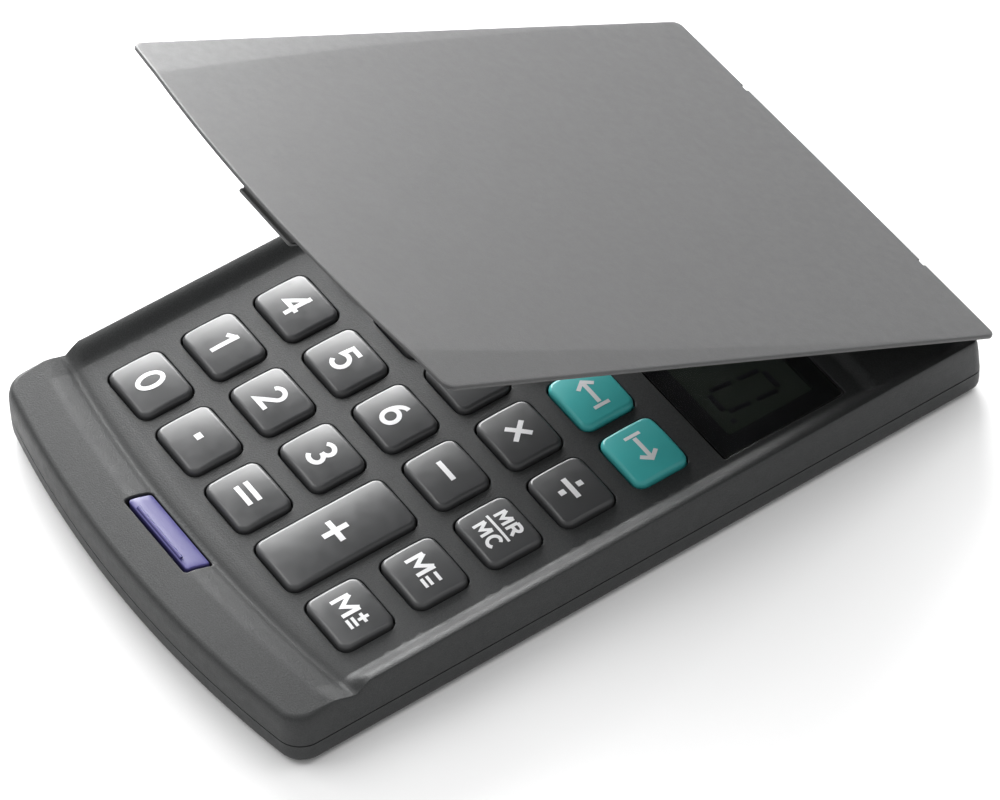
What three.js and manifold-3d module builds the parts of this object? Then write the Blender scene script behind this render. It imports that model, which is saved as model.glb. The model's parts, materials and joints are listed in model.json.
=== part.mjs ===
// Pocket calculator with a hinged hard cover, a rocking cover release and twenty-four keys.
// Millimetres. +X is the user's right, +Y points away from the user, +Z is up.
// The rubber feet stand on z = 0, and the cover stands part open, as in use.
import * as THREE from "three";
import { ConvexGeometry } from "three/addons/geometries/ConvexGeometry.js";
import { mergeVertices } from "three/addons/utils/BufferGeometryUtils.js";
import Module from "manifold-3d";

// Case outline, at the seam between the two shells.
const HALF_WIDTH = 32.9;
const FRONT_Y = -52.3;
const BACK_Y = 50.85;
const FRONT_RADIUS = 158;
const FRONT_CORNER = 3.5;
const BACK_CORNER = 1.6;
const WALL = 1.5;

// Heights of the stack, from the table up.
const CASE_BOTTOM_Z = 0.5;
const FLOOR_Z = 1.7;
const SEAM_Z = 3.65;
const SEAM_GAP = 0.2;
const CEILING_Z = 6.0;
const DECK_Z = 7.3;
const RIM_Z = 8.7;
const PLATFORM_Z = 8.2;
const PLATFORM_CEILING_Z = 6.8;

// The sunken key deck: its floor runs from the groove behind the front lip to the rear platform.
const GROOVE_Y = -42.65;
const GROOVE_RADIUS = 195;
const DECK_HALF_WIDTH = 29.4;
const DECK_BACK_Y = 35.6;
const RIM_SLOPE = 2.4;

// Keys on a five by five grid; the tall plus key fills two places.
const KEY_PITCH_X = 11;
const KEY_PITCH_Y = 10.5;
const KEY_GRID_Y = -13.15;
const KEY_WIDTH = 8.8;
const KEY_DEPTH = 7.5;
const KEY_CORNER = 1.25;
const KEY_GAP = 0.25;
const KEY_TOP_Z = 8.3;
const KEY_FLANGE_Z = 5.3;
const KEY_FLANGE_THICK = 0.5;
const KEY_FLANGE_RIM = 0.7;
const PLUNGER_Z = 5.0;
const PLUNGER_RADIUS = 1.5;

// Circuit board and rubber key mat.
const BOARD_Z = 2.2;
const BOARD_THICK = 0.8;
const BOARD_HALF_WIDTH = 27.3;
const BOARD_FRONT_Y = -39;
const BOARD_BACK_Y = 46.2;
const MAT_Z = 3.1;
const MAT_THICK = 0.5;
const MAT_BACK_Y = 13;
const DOME_TOP_Z = 4.9;

// Display.
const WINDOW = { x: 28.6, front: 15.05, back: 33.05, floor: 6.4 };
const DISPLAY_OPENING = { x: 25.7, front: 17.75, back: 30.55 };
const LENS_THICK = 0.6;
const GLASS = { x: 27.2, front: 16.2, back: 32.2, z: 4.3, thick: 1.6 };
const FRAME_WALL = 1.3;

// Solar cell in the rear platform.
const SOLAR_WINDOW = { x: 17.8, front: 38.3, back: 47.1, floor: 7.5 };
const SOLAR_OPENING = { x: 16.6, front: 39.3, back: 46.1 };
const SOLAR_CELL = { x: 17.3, front: 38.7, back: 46.4, z: 5.7, thick: 0.9 };

// Button cell.
const CELL_X = 22.5;
const CELL_Y = 40.2;
const CELL_Z = 2.1;
const CELL_RADIUS = 5.8;
const CELL_HEIGHT = 3.05;

// Fasteners and feet.
const SCREW_X = 29.2;
const SCREW_ROWS = { front: -40.5, middle: -4, rear: 36.5 };
const BOSS_RADIUS = 1.7;
const SCREW_RADIUS = 0.6;
const SCREW_HEAD_RADIUS = 1.4;
const FOOT_X = 22;
const FOOT_ROWS = { front: -44, rear: 43 };
const FOOT_RADIUS = 3;
const FOOT_HEIGHT = 0.9;
const PLATE_HALF = { x: 15, y: 6 };

// Cover, measured shut, and its hinge.
const HINGE_Y = 49.34;
const HINGE_Z = 4.9;
const COVER_OPEN = THREE.MathUtils.degToRad(29.3);
const COVER_HALF_WIDTH = 33.17;
const COVER_BACK_Y = 49.9;
const COVER_FRONT_Y = -41.6;
const COVER_RADIUS = 193;
const COVER_CORNER = 1.5;
const COVER_Z = 9.0;
const COVER_THICK = 1.0;
const FACET_WIDTH = 6.2;
const FACET_DROP = 0.35;
const LUG = { near: 19.7, far: 23.9, radius: 1.15 };
const SLOT = { near: 19.4, far: 24.2, front: 47.8, bottom: 2.5 };
const CHEEK_THICK = 1.5;
const PIN_RADIUS = 0.5;
const TONGUE = { x: 5.4, tip: -41.75, root: -39.9, z: 8.55, thick: 0.4 };

// Cover release: a rocker in the front lip.
const BUTTON = { left: -7.4, right: 5.8, front: -46.4, back: -43.15, bottom: 5.3, top: 8.45 };
const BUTTON_SLOT = { left: -7.7, right: 6.1, front: -46.8, back: -42.95 };
const ROCKER_Y = -44.8;
const ROCKER_Z = 6.2;
const TRUNNION_RADIUS = 0.6;
const TRUNNION_REACH = 8.6;
const SPRING_Y = -45.9;

const COLOURS = {
  shell: ["#54575a", 0.55, 0],
  cover: ["#8a8b8d", 0.45, 0.2],
  key: ["#5a5c5e", 0.35, 0],
  teal: ["#2f9a8c", 0.35, 0],
  violet: ["#7f7cc0", 0.35, 0],
  lens: ["#101214", 0.08, 0],
  display: ["#8c9488", 0.2, 0],
  solar: ["#241c2c", 0.15, 0],
  board: ["#1f6b3a", 0.5, 0],
  rubber: ["#b9bcc0", 0.8, 0],
  foot: ["#202122", 0.9, 0],
  dark: ["#141516", 0.6, 0],
  steel: ["#b8babd", 0.3, 1],
  red: ["#b3261e", 0.5, 0],
  plate: ["#9c9ea0", 0.4, 1],
};

const wasm = await Module();
wasm.setup();

const calculator = new THREE.Group();
const coverGroup = new THREE.Group();
coverGroup.position.set(0, HINGE_Y, HINGE_Z);
coverGroup.rotation.x = -COVER_OPEN;
calculator.add(coverGroup);

// ---- solids ----

function solid(geometry) {
  const bare = geometry.clone();
  bare.deleteAttribute("normal");
  bare.deleteAttribute("uv");
  const merged = mergeVertices(bare);
  return new wasm.Manifold(
    new wasm.Mesh({
      numProp: 3,
      vertProperties: merged.attributes.position.array,
      triVerts: new Uint32Array(merged.index.array),
    }),
  );
}

function geometryOf(body) {
  const mesh = body.getMesh();
  const geometry = new THREE.BufferGeometry();
  geometry.setAttribute("position", new THREE.BufferAttribute(mesh.vertProperties, 3));
  geometry.setIndex(new THREE.BufferAttribute(mesh.triVerts, 1));
  geometry.computeVertexNormals();
  return geometry;
}

function union(bodies) {
  return bodies.reduce((sum, body) => sum.add(body));
}

function addPart(name, body, colour, parent = calculator) {
  const [color, roughness, metalness] = COLOURS[colour];
  const material = new THREE.MeshStandardMaterial({ color, roughness, metalness });
  const mesh = new THREE.Mesh(geometryOf(body), material);
  mesh.name = name;
  parent.add(mesh);
  return mesh;
}

function prism(shape, z0, z1, curveSegments = 4) {
  const geometry = new THREE.ExtrudeGeometry(shape, {
    depth: z1 - z0,
    bevelEnabled: false,
    curveSegments,
  });
  return solid(geometry.translate(0, 0, z0));
}

// A prism whose two ends are bevelled inwards by `size` over `height`.
function bevelled(shape, z0, z1, size, height) {
  const geometry = new THREE.ExtrudeGeometry(shape, {
    depth: z1 - z0 - 2 * height,
    bevelThickness: height,
    bevelSize: size,
    bevelOffset: -size,
    bevelSegments: 2,
    curveSegments: 4,
  });
  return solid(geometry.translate(0, 0, z0 + height));
}

function box(x0, x1, y0, y1, z0, z1) {
  const geometry = new THREE.BoxGeometry(x1 - x0, y1 - y0, z1 - z0);
  return solid(geometry.translate((x0 + x1) / 2, (y0 + y1) / 2, (z0 + z1) / 2));
}

// A box centred on x = 0 from one of the named rectangles above.
function panel(rect, z0, z1, inset = 0) {
  return box(-rect.x + inset, rect.x - inset, rect.front + inset, rect.back - inset, z0, z1);
}

// The same for a rectangle given by its left and right ends.
function ends(rect, z0, z1) {
  return box(rect.left, rect.right, rect.front, rect.back, z0, z1);
}

function cylinder(x, y, z0, z1, radius, segments = 20, topRadius = radius) {
  const geometry = new THREE.CylinderGeometry(topRadius, radius, z1 - z0, segments);
  return solid(geometry.rotateX(Math.PI / 2).translate(x, y, (z0 + z1) / 2));
}

function rodAlongX(x0, x1, y, z, radius, segments = 16) {
  const geometry = new THREE.CylinderGeometry(radius, radius, x1 - x0, segments);
  return solid(geometry.rotateZ(Math.PI / 2).translate((x0 + x1) / 2, y, z));
}

function tube(points, radius, steps, sides) {
  const section = new THREE.Shape().absarc(0, 0, radius, 0, 2 * Math.PI);
  const geometry = new THREE.ExtrudeGeometry(section, {
    extrudePath: new THREE.CatmullRomCurve3(points),
    steps,
    curveSegments: sides / 2,
  });
  return solid(geometry);
}

function roundedRect(x, y, width, depth, radius) {
  const right = x + width / 2 - radius;
  const left = x - width / 2 + radius;
  const back = y + depth / 2 - radius;
  const front = y - depth / 2 + radius;
  const shape = new THREE.Shape();
  shape.absarc(right, back, radius, 0, Math.PI / 2);
  shape.absarc(left, back, radius, Math.PI / 2, Math.PI);
  shape.absarc(left, front, radius, Math.PI, 1.5 * Math.PI);
  shape.absarc(right, front, radius, 1.5 * Math.PI, 2 * Math.PI);
  return shape;
}

// A panel outline with a bowed front edge, as the case, the deck and the cover all have.
function bowedOutline({ halfWidth, frontY, backY, bow, frontCorner, backCorner }) {
  const bowCentreY = frontY + bow;
  const cornerX = halfWidth - frontCorner;
  const cornerY = bowCentreY - Math.sqrt((bow - frontCorner) ** 2 - cornerX ** 2);
  const spread = Math.asin(cornerX / (bow - frontCorner));
  const down = -Math.PI / 2;
  const shape = new THREE.Shape();
  shape.absarc(halfWidth - backCorner, backY - backCorner, backCorner, 0, Math.PI / 2);
  shape.absarc(-halfWidth + backCorner, backY - backCorner, backCorner, Math.PI / 2, Math.PI);
  shape.absarc(-cornerX, cornerY, frontCorner, -Math.PI, down - spread);
  shape.absarc(0, bowCentreY, bow, down - spread, down + spread);
  shape.absarc(cornerX, cornerY, frontCorner, down + spread, 0);
  return shape;
}

function caseOutline(inset) {
  return bowedOutline({
    halfWidth: HALF_WIDTH - inset,
    frontY: FRONT_Y + inset,
    backY: BACK_Y - inset,
    bow: FRONT_RADIUS - inset,
    frontCorner: FRONT_CORNER - inset,
    backCorner: Math.max(BACK_CORNER - inset, 0.3),
  });
}

function mirrored(make) {
  return [make(-1), make(1)];
}

// ---- keys ----

const KEY_NAMES = [
  ["key_0", "key_point", "key_equals", null, "key_memory_plus"],
  ["key_1", "key_2", "key_3", null, "key_memory_minus"],
  ["key_4", "key_5", "key_6", "key_minus", "key_memory_recall"],
  ["key_7", "key_8", "key_9", "key_multiply", "key_divide"],
  ["key_clear", "key_root", "key_percent", "key_convert_home", "key_convert_away"],
];

function gridX(column) {
  return (column - 2) * KEY_PITCH_X;
}

function gridY(row) {
  return KEY_GRID_Y + (row - 2) * KEY_PITCH_Y;
}

function listKeys() {
  const keys = [];
  KEY_NAMES.forEach((names, row) => {
    names.forEach((name, column) => {
      if (!name) return;
      const plungers = [gridY(row)];
      keys.push({ name, x: gridX(column), y: gridY(row), depth: KEY_DEPTH, plungers });
    });
  });
  keys.push({
    name: "key_plus",
    x: gridX(3),
    y: (gridY(0) + gridY(1)) / 2,
    depth: KEY_DEPTH + KEY_PITCH_Y,
    plungers: [gridY(0), gridY(1)],
  });
  return keys;
}

const KEYS = listKeys();

function keyBody({ x, y, depth, plungers }) {
  const rim = 2 * KEY_FLANGE_RIM;
  const cap = prism(
    roundedRect(x, y, KEY_WIDTH, depth, KEY_CORNER),
    KEY_FLANGE_Z,
    KEY_TOP_Z,
    2,
  );
  const flange = box(
    x - (KEY_WIDTH + rim) / 2,
    x + (KEY_WIDTH + rim) / 2,
    y - (depth + rim) / 2,
    y + (depth + rim) / 2,
    KEY_FLANGE_Z,
    KEY_FLANGE_Z + KEY_FLANGE_THICK,
  );
  const stubs = plungers.map((plungerY) =>
    cylinder(x, plungerY, PLUNGER_Z, KEY_FLANGE_Z + 0.2, PLUNGER_RADIUS, 10),
  );
  return union([cap, flange, ...stubs]);
}

for (const key of KEYS) {
  const colour = key.name.startsWith("key_convert") ? "teal" : "key";
  addPart(key.name, keyBody(key), colour);
}

// ---- upper case ----

// The hollow above the deck floor, with sloping sides up to the rim.
function deckHollow() {
  const floor = bowedOutline({
    halfWidth: DECK_HALF_WIDTH,
    frontY: GROOVE_Y,
    backY: DECK_BACK_Y,
    bow: GROOVE_RADIUS,
    frontCorner: 1,
    backCorner: 1,
  });
  const slope = RIM_Z - DECK_Z;
  const geometry = new THREE.ExtrudeGeometry(floor, {
    depth: 2,
    bevelThickness: slope,
    bevelSize: RIM_SLOPE,
    bevelOffset: 0,
    bevelSegments: 1,
    curveSegments: 4,
  });
  return solid(geometry.translate(0, 0, DECK_Z + slope));
}

function screwPositions() {
  return Object.entries(SCREW_ROWS).flatMap(([row, y]) => [
    { name: "case_screw_" + row + "_left", x: -SCREW_X, y },
    { name: "case_screw_" + row + "_right", x: SCREW_X, y },
  ]);
}

// The two cheeks that hold one hinge pin, still in one block.
function hingeBlock(side) {
  const near = side * (SLOT.near - CHEEK_THICK);
  const far = side * (SLOT.far + CHEEK_THICK);
  const [x0, x1] = [Math.min(near, far), Math.max(near, far)];
  return box(x0, x1, SLOT.front - 1.2, BACK_Y - WALL / 2, SEAM_Z, PLATFORM_CEILING_Z + 0.3);
}

function hingeSlot(side, bottom, top) {
  const [x0, x1] = side > 0 ? [SLOT.near, SLOT.far] : [-SLOT.far, -SLOT.near];
  return box(x0, x1, SLOT.front, BACK_Y + 1, bottom, top);
}

function hingeRod(side, radius, slack) {
  const near = SLOT.near - CHEEK_THICK + 0.2 - slack;
  const far = SLOT.far + CHEEK_THICK - 0.2 + slack;
  const [x0, x1] = side > 0 ? [near, far] : [-far, -near];
  return rodAlongX(x0, x1, HINGE_Y, HINGE_Z, radius);
}

// The blocks under the lip that hold the ends of the release rocker.
function rockerCheeks() {
  const outer = TRUNNION_REACH + 0.9;
  const y0 = ROCKER_Y - 1.4;
  const y1 = ROCKER_Y + 1.4;
  const bottom = ROCKER_Z - 1.4;
  return [
    box(-outer, BUTTON_SLOT.left, y0, y1, bottom, CEILING_Z + 0.3),
    box(BUTTON_SLOT.right, outer, y0, y1, bottom, CEILING_Z + 0.3),
  ];
}

function upperCase() {
  const skin = bevelled(caseOutline(0), 0, RIM_Z, 0.7, 1);
  const span = HALF_WIDTH + 1;
  const belowSeam = box(-span, span, FRONT_Y - 1, BACK_Y + 1, -1, SEAM_Z);
  const rearHollow = box(-span, span, DECK_BACK_Y + 2, BACK_Y + 1, PLATFORM_Z, RIM_Z + 1);
  const sideRims = box(-DECK_HALF_WIDTH - 1.4, DECK_HALF_WIDTH + 1.4, 0, BACK_Y + 1, DECK_Z, RIM_Z + 1);
  const inside = prism(caseOutline(WALL), SEAM_Z - 1, CEILING_Z);
  const solarRoom = box(-29, 29, DECK_BACK_Y + 2, 46.6, CEILING_Z - 1, PLATFORM_CEILING_Z);
  const bosses = screwPositions().map(({ x, y }) =>
    cylinder(x, y, FLOOR_Z + 0.3, CEILING_Z + 0.3, BOSS_RADIUS, 16),
  );
  const shell = union([
    skin
      .subtract(belowSeam)
      .subtract(deckHollow())
      .subtract(rearHollow.intersect(sideRims))
      .subtract(inside)
      .subtract(solarRoom),
    ...bosses,
    ...mirrored(hingeBlock),
    ...rockerCheeks(),
  ]);
  const openings = [
    ...KEYS.map(({ x, y, depth }) => {
      const gap = 2 * KEY_GAP;
      const hole = roundedRect(x, y, KEY_WIDTH + gap, depth + gap, KEY_CORNER + KEY_GAP);
      return prism(hole, CEILING_Z - 1, DECK_Z + 1, 2);
    }),
    ...screwPositions().map(({ x, y }) =>
      cylinder(x, y, 0, CEILING_Z + 0.6, SCREW_RADIUS + 0.12, 10),
    ),
    panel(WINDOW, WINDOW.floor, DECK_Z + 1),
    panel(DISPLAY_OPENING, CEILING_Z - 1, DECK_Z),
    panel(SOLAR_WINDOW, SOLAR_WINDOW.floor, RIM_Z),
    panel(SOLAR_OPENING, CEILING_Z - 1, RIM_Z),
    ends(BUTTON_SLOT, CEILING_Z - 2, RIM_Z + 1),
    rodAlongX(-TRUNNION_REACH - 0.2, TRUNNION_REACH + 0.2, ROCKER_Y, ROCKER_Z, TRUNNION_RADIUS + 0.12),
    ...mirrored((side) => hingeSlot(side, SEAM_Z - 1, RIM_Z + 1)),
    ...mirrored((side) => hingeRod(side, PIN_RADIUS + 0.06, 0.1)),
  ];
  return shell.subtract(union(openings));
}

addPart("upper_case", upperCase(), "shell");

// ---- lower case ----

function feet() {
  return Object.entries(FOOT_ROWS).flatMap(([row, y]) => [
    { name: "foot_" + row + "_left", x: -FOOT_X, y },
    { name: "foot_" + row + "_right", x: FOOT_X, y },
  ]);
}

function lowerCase() {
  const span = HALF_WIDTH + 1;
  const skin = bevelled(caseOutline(0), CASE_BOTTOM_Z, 2 * SEAM_Z, 0.7, 0.9);
  const aboveSeam = box(-span, span, FRONT_Y - 1, BACK_Y + 1, SEAM_Z - SEAM_GAP, 2 * SEAM_Z + 1);
  const inside = prism(caseOutline(WALL), FLOOR_Z, SEAM_Z);
  const boardRibs = [-30, -10, 10, 28].map((y) =>
    box(-25, 25, y - 0.5, y + 0.5, FLOOR_Z - 0.2, BOARD_Z - 0.1),
  );
  const springPost = cylinder(0, SPRING_Y, FLOOR_Z - 0.2, FLOOR_Z + 1.2, 0.6, 12);
  const plateRecess = box(-PLATE_HALF.x, PLATE_HALF.x, -PLATE_HALF.y, PLATE_HALF.y, 0, CASE_BOTTOM_Z + 0.3);
  const openings = [
    ...screwPositions().map(({ x, y }) => cylinder(x, y, 0, FLOOR_Z + 1, SCREW_RADIUS + 0.2, 12)),
    ...screwPositions().map(({ x, y }) =>
      cylinder(x, y, 0, CASE_BOTTOM_Z + 0.7, SCREW_HEAD_RADIUS + 0.2, 16),
    ),
    ...feet().map(({ x, y }) => cylinder(x, y, 0, FOOT_HEIGHT + 0.1, FOOT_RADIUS + 0.15, 24)),
    ...mirrored((side) => hingeSlot(side, SLOT.bottom, SEAM_Z + 1)),
    plateRecess,
  ];
  return union([skin.subtract(aboveSeam).subtract(inside), ...boardRibs, springPost]).subtract(
    union(openings),
  );
}

addPart("lower_case", lowerCase(), "shell");

for (const { name, x, y } of feet()) {
  addPart(name, cylinder(x, y, 0, FOOT_HEIGHT, FOOT_RADIUS, 24), "foot");
}

for (const { name, x, y } of screwPositions()) {
  const head = cylinder(x, y, CASE_BOTTOM_Z + 0.05, CASE_BOTTOM_Z + 0.6, SCREW_HEAD_RADIUS, 16);
  const shank = cylinder(x, y, CASE_BOTTOM_Z + 0.5, CEILING_Z - 1, SCREW_RADIUS, 10);
  addPart(name, head.add(shank), "steel");
}

addPart(
  "rating_plate",
  box(
    0.2 - PLATE_HALF.x,
    PLATE_HALF.x - 0.2,
    0.2 - PLATE_HALF.y,
    PLATE_HALF.y - 0.2,
    CASE_BOTTOM_Z + 0.02,
    CASE_BOTTOM_Z + 0.27,
  ),
  "plate",
);

// ---- electronics ----

const boardTop = BOARD_Z + BOARD_THICK;
const board = box(
  -BOARD_HALF_WIDTH,
  BOARD_HALF_WIDTH,
  BOARD_FRONT_Y,
  BOARD_BACK_Y,
  BOARD_Z,
  boardTop,
).subtract(
  cylinder(CELL_X, CELL_Y, 0, DECK_Z, CELL_RADIUS + 0.3, 24).add(
    box(CELL_X - CELL_RADIUS, HALF_WIDTH, CELL_Y, BACK_Y, 0, DECK_Z),
  ),
);
addPart("circuit_board", board, "board");

function keyMat() {
  const sheet = box(
    -BOARD_HALF_WIDTH + 0.1,
    BOARD_HALF_WIDTH - 0.1,
    BOARD_FRONT_Y + 0.1,
    MAT_BACK_Y,
    MAT_Z,
    MAT_Z + MAT_THICK,
  );
  const domes = KEYS.flatMap(({ x, plungers }) =>
    plungers.map((y) => cylinder(x, y, MAT_Z + 0.1, DOME_TOP_Z, 2.8, 12, 1.7)),
  );
  return union([sheet, ...domes]);
}

addPart("key_mat", keyMat(), "rubber");

const lensZ = WINDOW.floor + 0.15;
addPart("display_window", panel(WINDOW, lensZ, lensZ + LENS_THICK, 0.2), "lens");
addPart("lcd_panel", panel(GLASS, GLASS.z, GLASS.z + GLASS.thick), "display");

const frameBottom = boardTop + 0.1;
const frameTop = GLASS.z - 0.1;
const lcdFrame = panel(GLASS, frameBottom, frameTop, -0.7).subtract(
  panel(GLASS, frameBottom - 1, frameTop + 1, FRAME_WALL - 0.7),
);
addPart("lcd_frame", lcdFrame, "dark");

const connectorFront = GLASS.front + FRAME_WALL;
const connector = box(-24, 24, connectorFront, connectorFront + 1.8, frameBottom, frameTop);
addPart("lcd_connector", connector, "dark");

const solarLensZ = SOLAR_WINDOW.floor + 0.1;
addPart("solar_window", panel(SOLAR_WINDOW, solarLensZ, PLATFORM_Z - 0.1, 0.2), "lens");
addPart("solar_cell", panel(SOLAR_CELL, SOLAR_CELL.z, SOLAR_CELL.z + SOLAR_CELL.thick), "solar");

addPart("chip_cap", cylinder(-6, 41, boardTop + 0.1, boardTop + 1.3, 4, 20, 2.6), "dark");
addPart("capacitor", rodAlongX(3, 9, 41, boardTop + 1.35, 1.2, 16), "dark");

for (const [name, colour, x] of [
  ["solar_wire_red", "red", -13],
  ["solar_wire_black", "dark", -15.5],
]) {
  const route = [
    new THREE.Vector3(x, 44.5, SOLAR_CELL.z - 0.45),
    new THREE.Vector3(x, 42, SOLAR_CELL.z - 0.8),
    new THREE.Vector3(x - 1, 39, boardTop + 1),
    new THREE.Vector3(x - 1, 35.5, boardTop + 0.5),
  ];
  addPart(name, tube(route, 0.35, 10, 8), colour);
}

addPart(
  "battery_cell",
  cylinder(CELL_X, CELL_Y, CELL_Z, CELL_Z + CELL_HEIGHT, CELL_RADIUS, 32),
  "steel",
);

const stripHalf = 2.5;
const legY = CELL_Y - CELL_RADIUS - 0.8;
const contactTop = CELL_Z + CELL_HEIGHT + 0.1;
const lowStrip = box(
  CELL_X - stripHalf,
  CELL_X + stripHalf,
  legY,
  CELL_Y + 3,
  FLOOR_Z + 0.08,
  CELL_Z - 0.12,
);
addPart("battery_contact_negative", lowStrip, "steel");
const highStrip = box(
  CELL_X - stripHalf,
  CELL_X + stripHalf,
  legY,
  CELL_Y + 3,
  contactTop,
  contactTop + 0.2,
).add(
  box(CELL_X - stripHalf, CELL_X + stripHalf, legY, legY + 0.2, frameBottom, contactTop + 0.1),
);
addPart("battery_contact_positive", highStrip, "steel");

// ---- cover release ----

function releaseButton() {
  const block = ends(BUTTON, BUTTON.bottom, BUTTON.top);
  const ribEnds = { left: BUTTON.left + 1.8, right: BUTTON.right - 1.8, front: BUTTON.front + 0.2, back: BUTTON.front + 0.7 };
  const rib = ends(ribEnds, BUTTON.top - 0.2, RIM_Z);
  const trunnions = rodAlongX(
    -TRUNNION_REACH,
    TRUNNION_REACH,
    ROCKER_Y,
    ROCKER_Z,
    TRUNNION_RADIUS,
  );
  return union([block, rib, trunnions]);
}

addPart("cover_release_button", releaseButton(), "violet");

function springRoute() {
  const points = [];
  const turns = 4;
  const stepsPerTurn = 8;
  const bottom = FLOOR_Z + 0.3;
  const height = BUTTON.bottom - 0.3 - bottom;
  for (let i = 0; i <= turns * stepsPerTurn; i++) {
    const angle = (2 * Math.PI * i) / stepsPerTurn;
    const z = bottom + (height * i) / (turns * stepsPerTurn);
    points.push(new THREE.Vector3(1.1 * Math.cos(angle), SPRING_Y + 1.1 * Math.sin(angle), z));
  }
  return points;
}

addPart("release_spring", tube(springRoute(), 0.18, 36, 6), "steel");

// ---- cover and hinge ----

// The wedge that slants one long side of the cover: widest at the front, nothing at the hinge.
function facetCutter(side) {
  const edge = side * (COVER_HALF_WIDTH + 1);
  const top = COVER_Z + COVER_THICK;
  const drop = FACET_DROP * (1 + 1 / FACET_WIDTH);
  const front = COVER_FRONT_Y - 1;
  return solid(
    new ConvexGeometry([
      new THREE.Vector3(side * (COVER_HALF_WIDTH - FACET_WIDTH), front, top),
      new THREE.Vector3(edge, front, top - drop),
      new THREE.Vector3(edge, COVER_BACK_Y, top),
      new THREE.Vector3(edge, front, top + 1),
      new THREE.Vector3(side * (COVER_HALF_WIDTH - FACET_WIDTH), front, top + 1),
      new THREE.Vector3(edge, COVER_BACK_Y, top + 1),
    ]),
  );
}

function hingeLug(side) {
  const [x0, x1] = side > 0 ? [LUG.near, LUG.far] : [-LUG.far, -LUG.near];
  const arm = box(x0, x1, HINGE_Y - LUG.radius, COVER_BACK_Y, HINGE_Z, COVER_Z + 0.3);
  const eye = rodAlongX(x0, x1, HINGE_Y, HINGE_Z, LUG.radius, 24);
  const bore = rodAlongX(x0 - 1, x1 + 1, HINGE_Y, HINGE_Z, PIN_RADIUS + 0.08, 24);
  return arm.add(eye).subtract(bore);
}

function flipCover() {
  const outline = bowedOutline({
    halfWidth: COVER_HALF_WIDTH,
    frontY: COVER_FRONT_Y,
    backY: COVER_BACK_Y,
    bow: COVER_RADIUS,
    frontCorner: COVER_CORNER,
    backCorner: 0.5,
  });
  const plate = prism(outline, COVER_Z, COVER_Z + COVER_THICK, 6);
  const tongueRoot = box(-TONGUE.x, TONGUE.x, COVER_FRONT_Y + 0.2, TONGUE.root, TONGUE.z, COVER_Z + 0.2);
  const tongueTip = box(
    -TONGUE.x,
    TONGUE.x,
    TONGUE.tip,
    TONGUE.root,
    TONGUE.z,
    TONGUE.z + TONGUE.thick,
  );
  return union([
    plate.subtract(union(mirrored(facetCutter))),
    tongueRoot,
    tongueTip,
    ...mirrored(hingeLug),
  ]);
}

const cover = addPart("flip_cover", flipCover(), "cover", coverGroup);
cover.position.set(0, -HINGE_Y, -HINGE_Z);

mirrored((side) =>
  addPart(side < 0 ? "hinge_pin_left" : "hinge_pin_right", hingeRod(side, PIN_RADIUS, 0), "steel"),
);

export default calculator;
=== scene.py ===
"""Pocket calculator: the finished surfaces, materials and studio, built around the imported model.

Shapes are worked out in millimetres in the model's own frame: +X to the user's right, +Y away from
the user, +Z up, the feet on z = 0. They turn into metres when a mesh becomes an object.
"""

import json
import math

import bmesh
import bpy
import numpy as np
from mathutils import Matrix, Vector
from mathutils.geometry import delaunay_2d_cdt


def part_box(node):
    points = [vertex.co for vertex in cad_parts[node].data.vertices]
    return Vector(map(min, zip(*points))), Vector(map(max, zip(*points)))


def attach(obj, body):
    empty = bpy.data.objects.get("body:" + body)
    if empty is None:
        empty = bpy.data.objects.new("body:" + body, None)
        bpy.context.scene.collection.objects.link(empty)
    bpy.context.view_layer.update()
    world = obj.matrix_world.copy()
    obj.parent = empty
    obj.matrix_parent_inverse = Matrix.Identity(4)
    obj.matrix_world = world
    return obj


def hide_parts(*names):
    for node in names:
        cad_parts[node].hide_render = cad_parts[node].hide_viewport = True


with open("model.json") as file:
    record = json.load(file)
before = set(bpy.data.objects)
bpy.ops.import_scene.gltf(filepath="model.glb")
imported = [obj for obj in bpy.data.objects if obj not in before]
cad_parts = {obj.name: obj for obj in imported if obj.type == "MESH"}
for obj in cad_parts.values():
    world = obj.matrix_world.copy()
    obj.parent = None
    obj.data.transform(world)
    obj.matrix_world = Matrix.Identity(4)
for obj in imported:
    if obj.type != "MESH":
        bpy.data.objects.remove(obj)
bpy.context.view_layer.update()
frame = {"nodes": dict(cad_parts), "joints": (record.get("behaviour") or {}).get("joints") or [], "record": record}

MM = 0.001
BODIES = frame["record"]["behaviour"]["bodies"]
BODY_OF = {node: body for body, nodes in BODIES.items() for node in nodes}
JOINTS = {joint["name"]: joint for joint in frame["joints"]}


def nodes_named(start):
    return sorted(node for node in frame["nodes"] if node.startswith(start))


def box_mm(node):
    """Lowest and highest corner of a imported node, in millimetres."""
    low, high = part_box(node)
    return np.array(low) / MM, np.array(high) / MM


def middle_mm(node):
    """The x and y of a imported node's middle."""
    low, high = box_mm(node)
    return (low[:2] + high[:2]) / 2


def rect_mm(node):
    """Half width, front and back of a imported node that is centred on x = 0."""
    low, high = box_mm(node)
    return high[0], low[1], high[1]


# ---- driving dimensions, in millimetres ----

CASE_LOW, CASE_HIGH = box_mm("lower_case")
HALF_WIDTH = CASE_HIGH[0]
FRONT_Y = CASE_LOW[1]
BACK_Y = CASE_HIGH[1]
CASE_BOTTOM_Z = CASE_LOW[2]
LOWER_TOP_Z = CASE_HIGH[2]
SEAM_Z = LOWER_TOP_Z + 0.2
FRONT_RADIUS = 158
FRONT_CORNER = 3.5
BACK_CORNER = 1.6
WALL = 1.5
FLOOR_Z = 1.7
CEILING_Z = 6.0
PLATFORM_CEILING_Z = 6.8
OVERLAP = 0.3  # how far bosses reach into the floor or the ceiling they join

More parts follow.
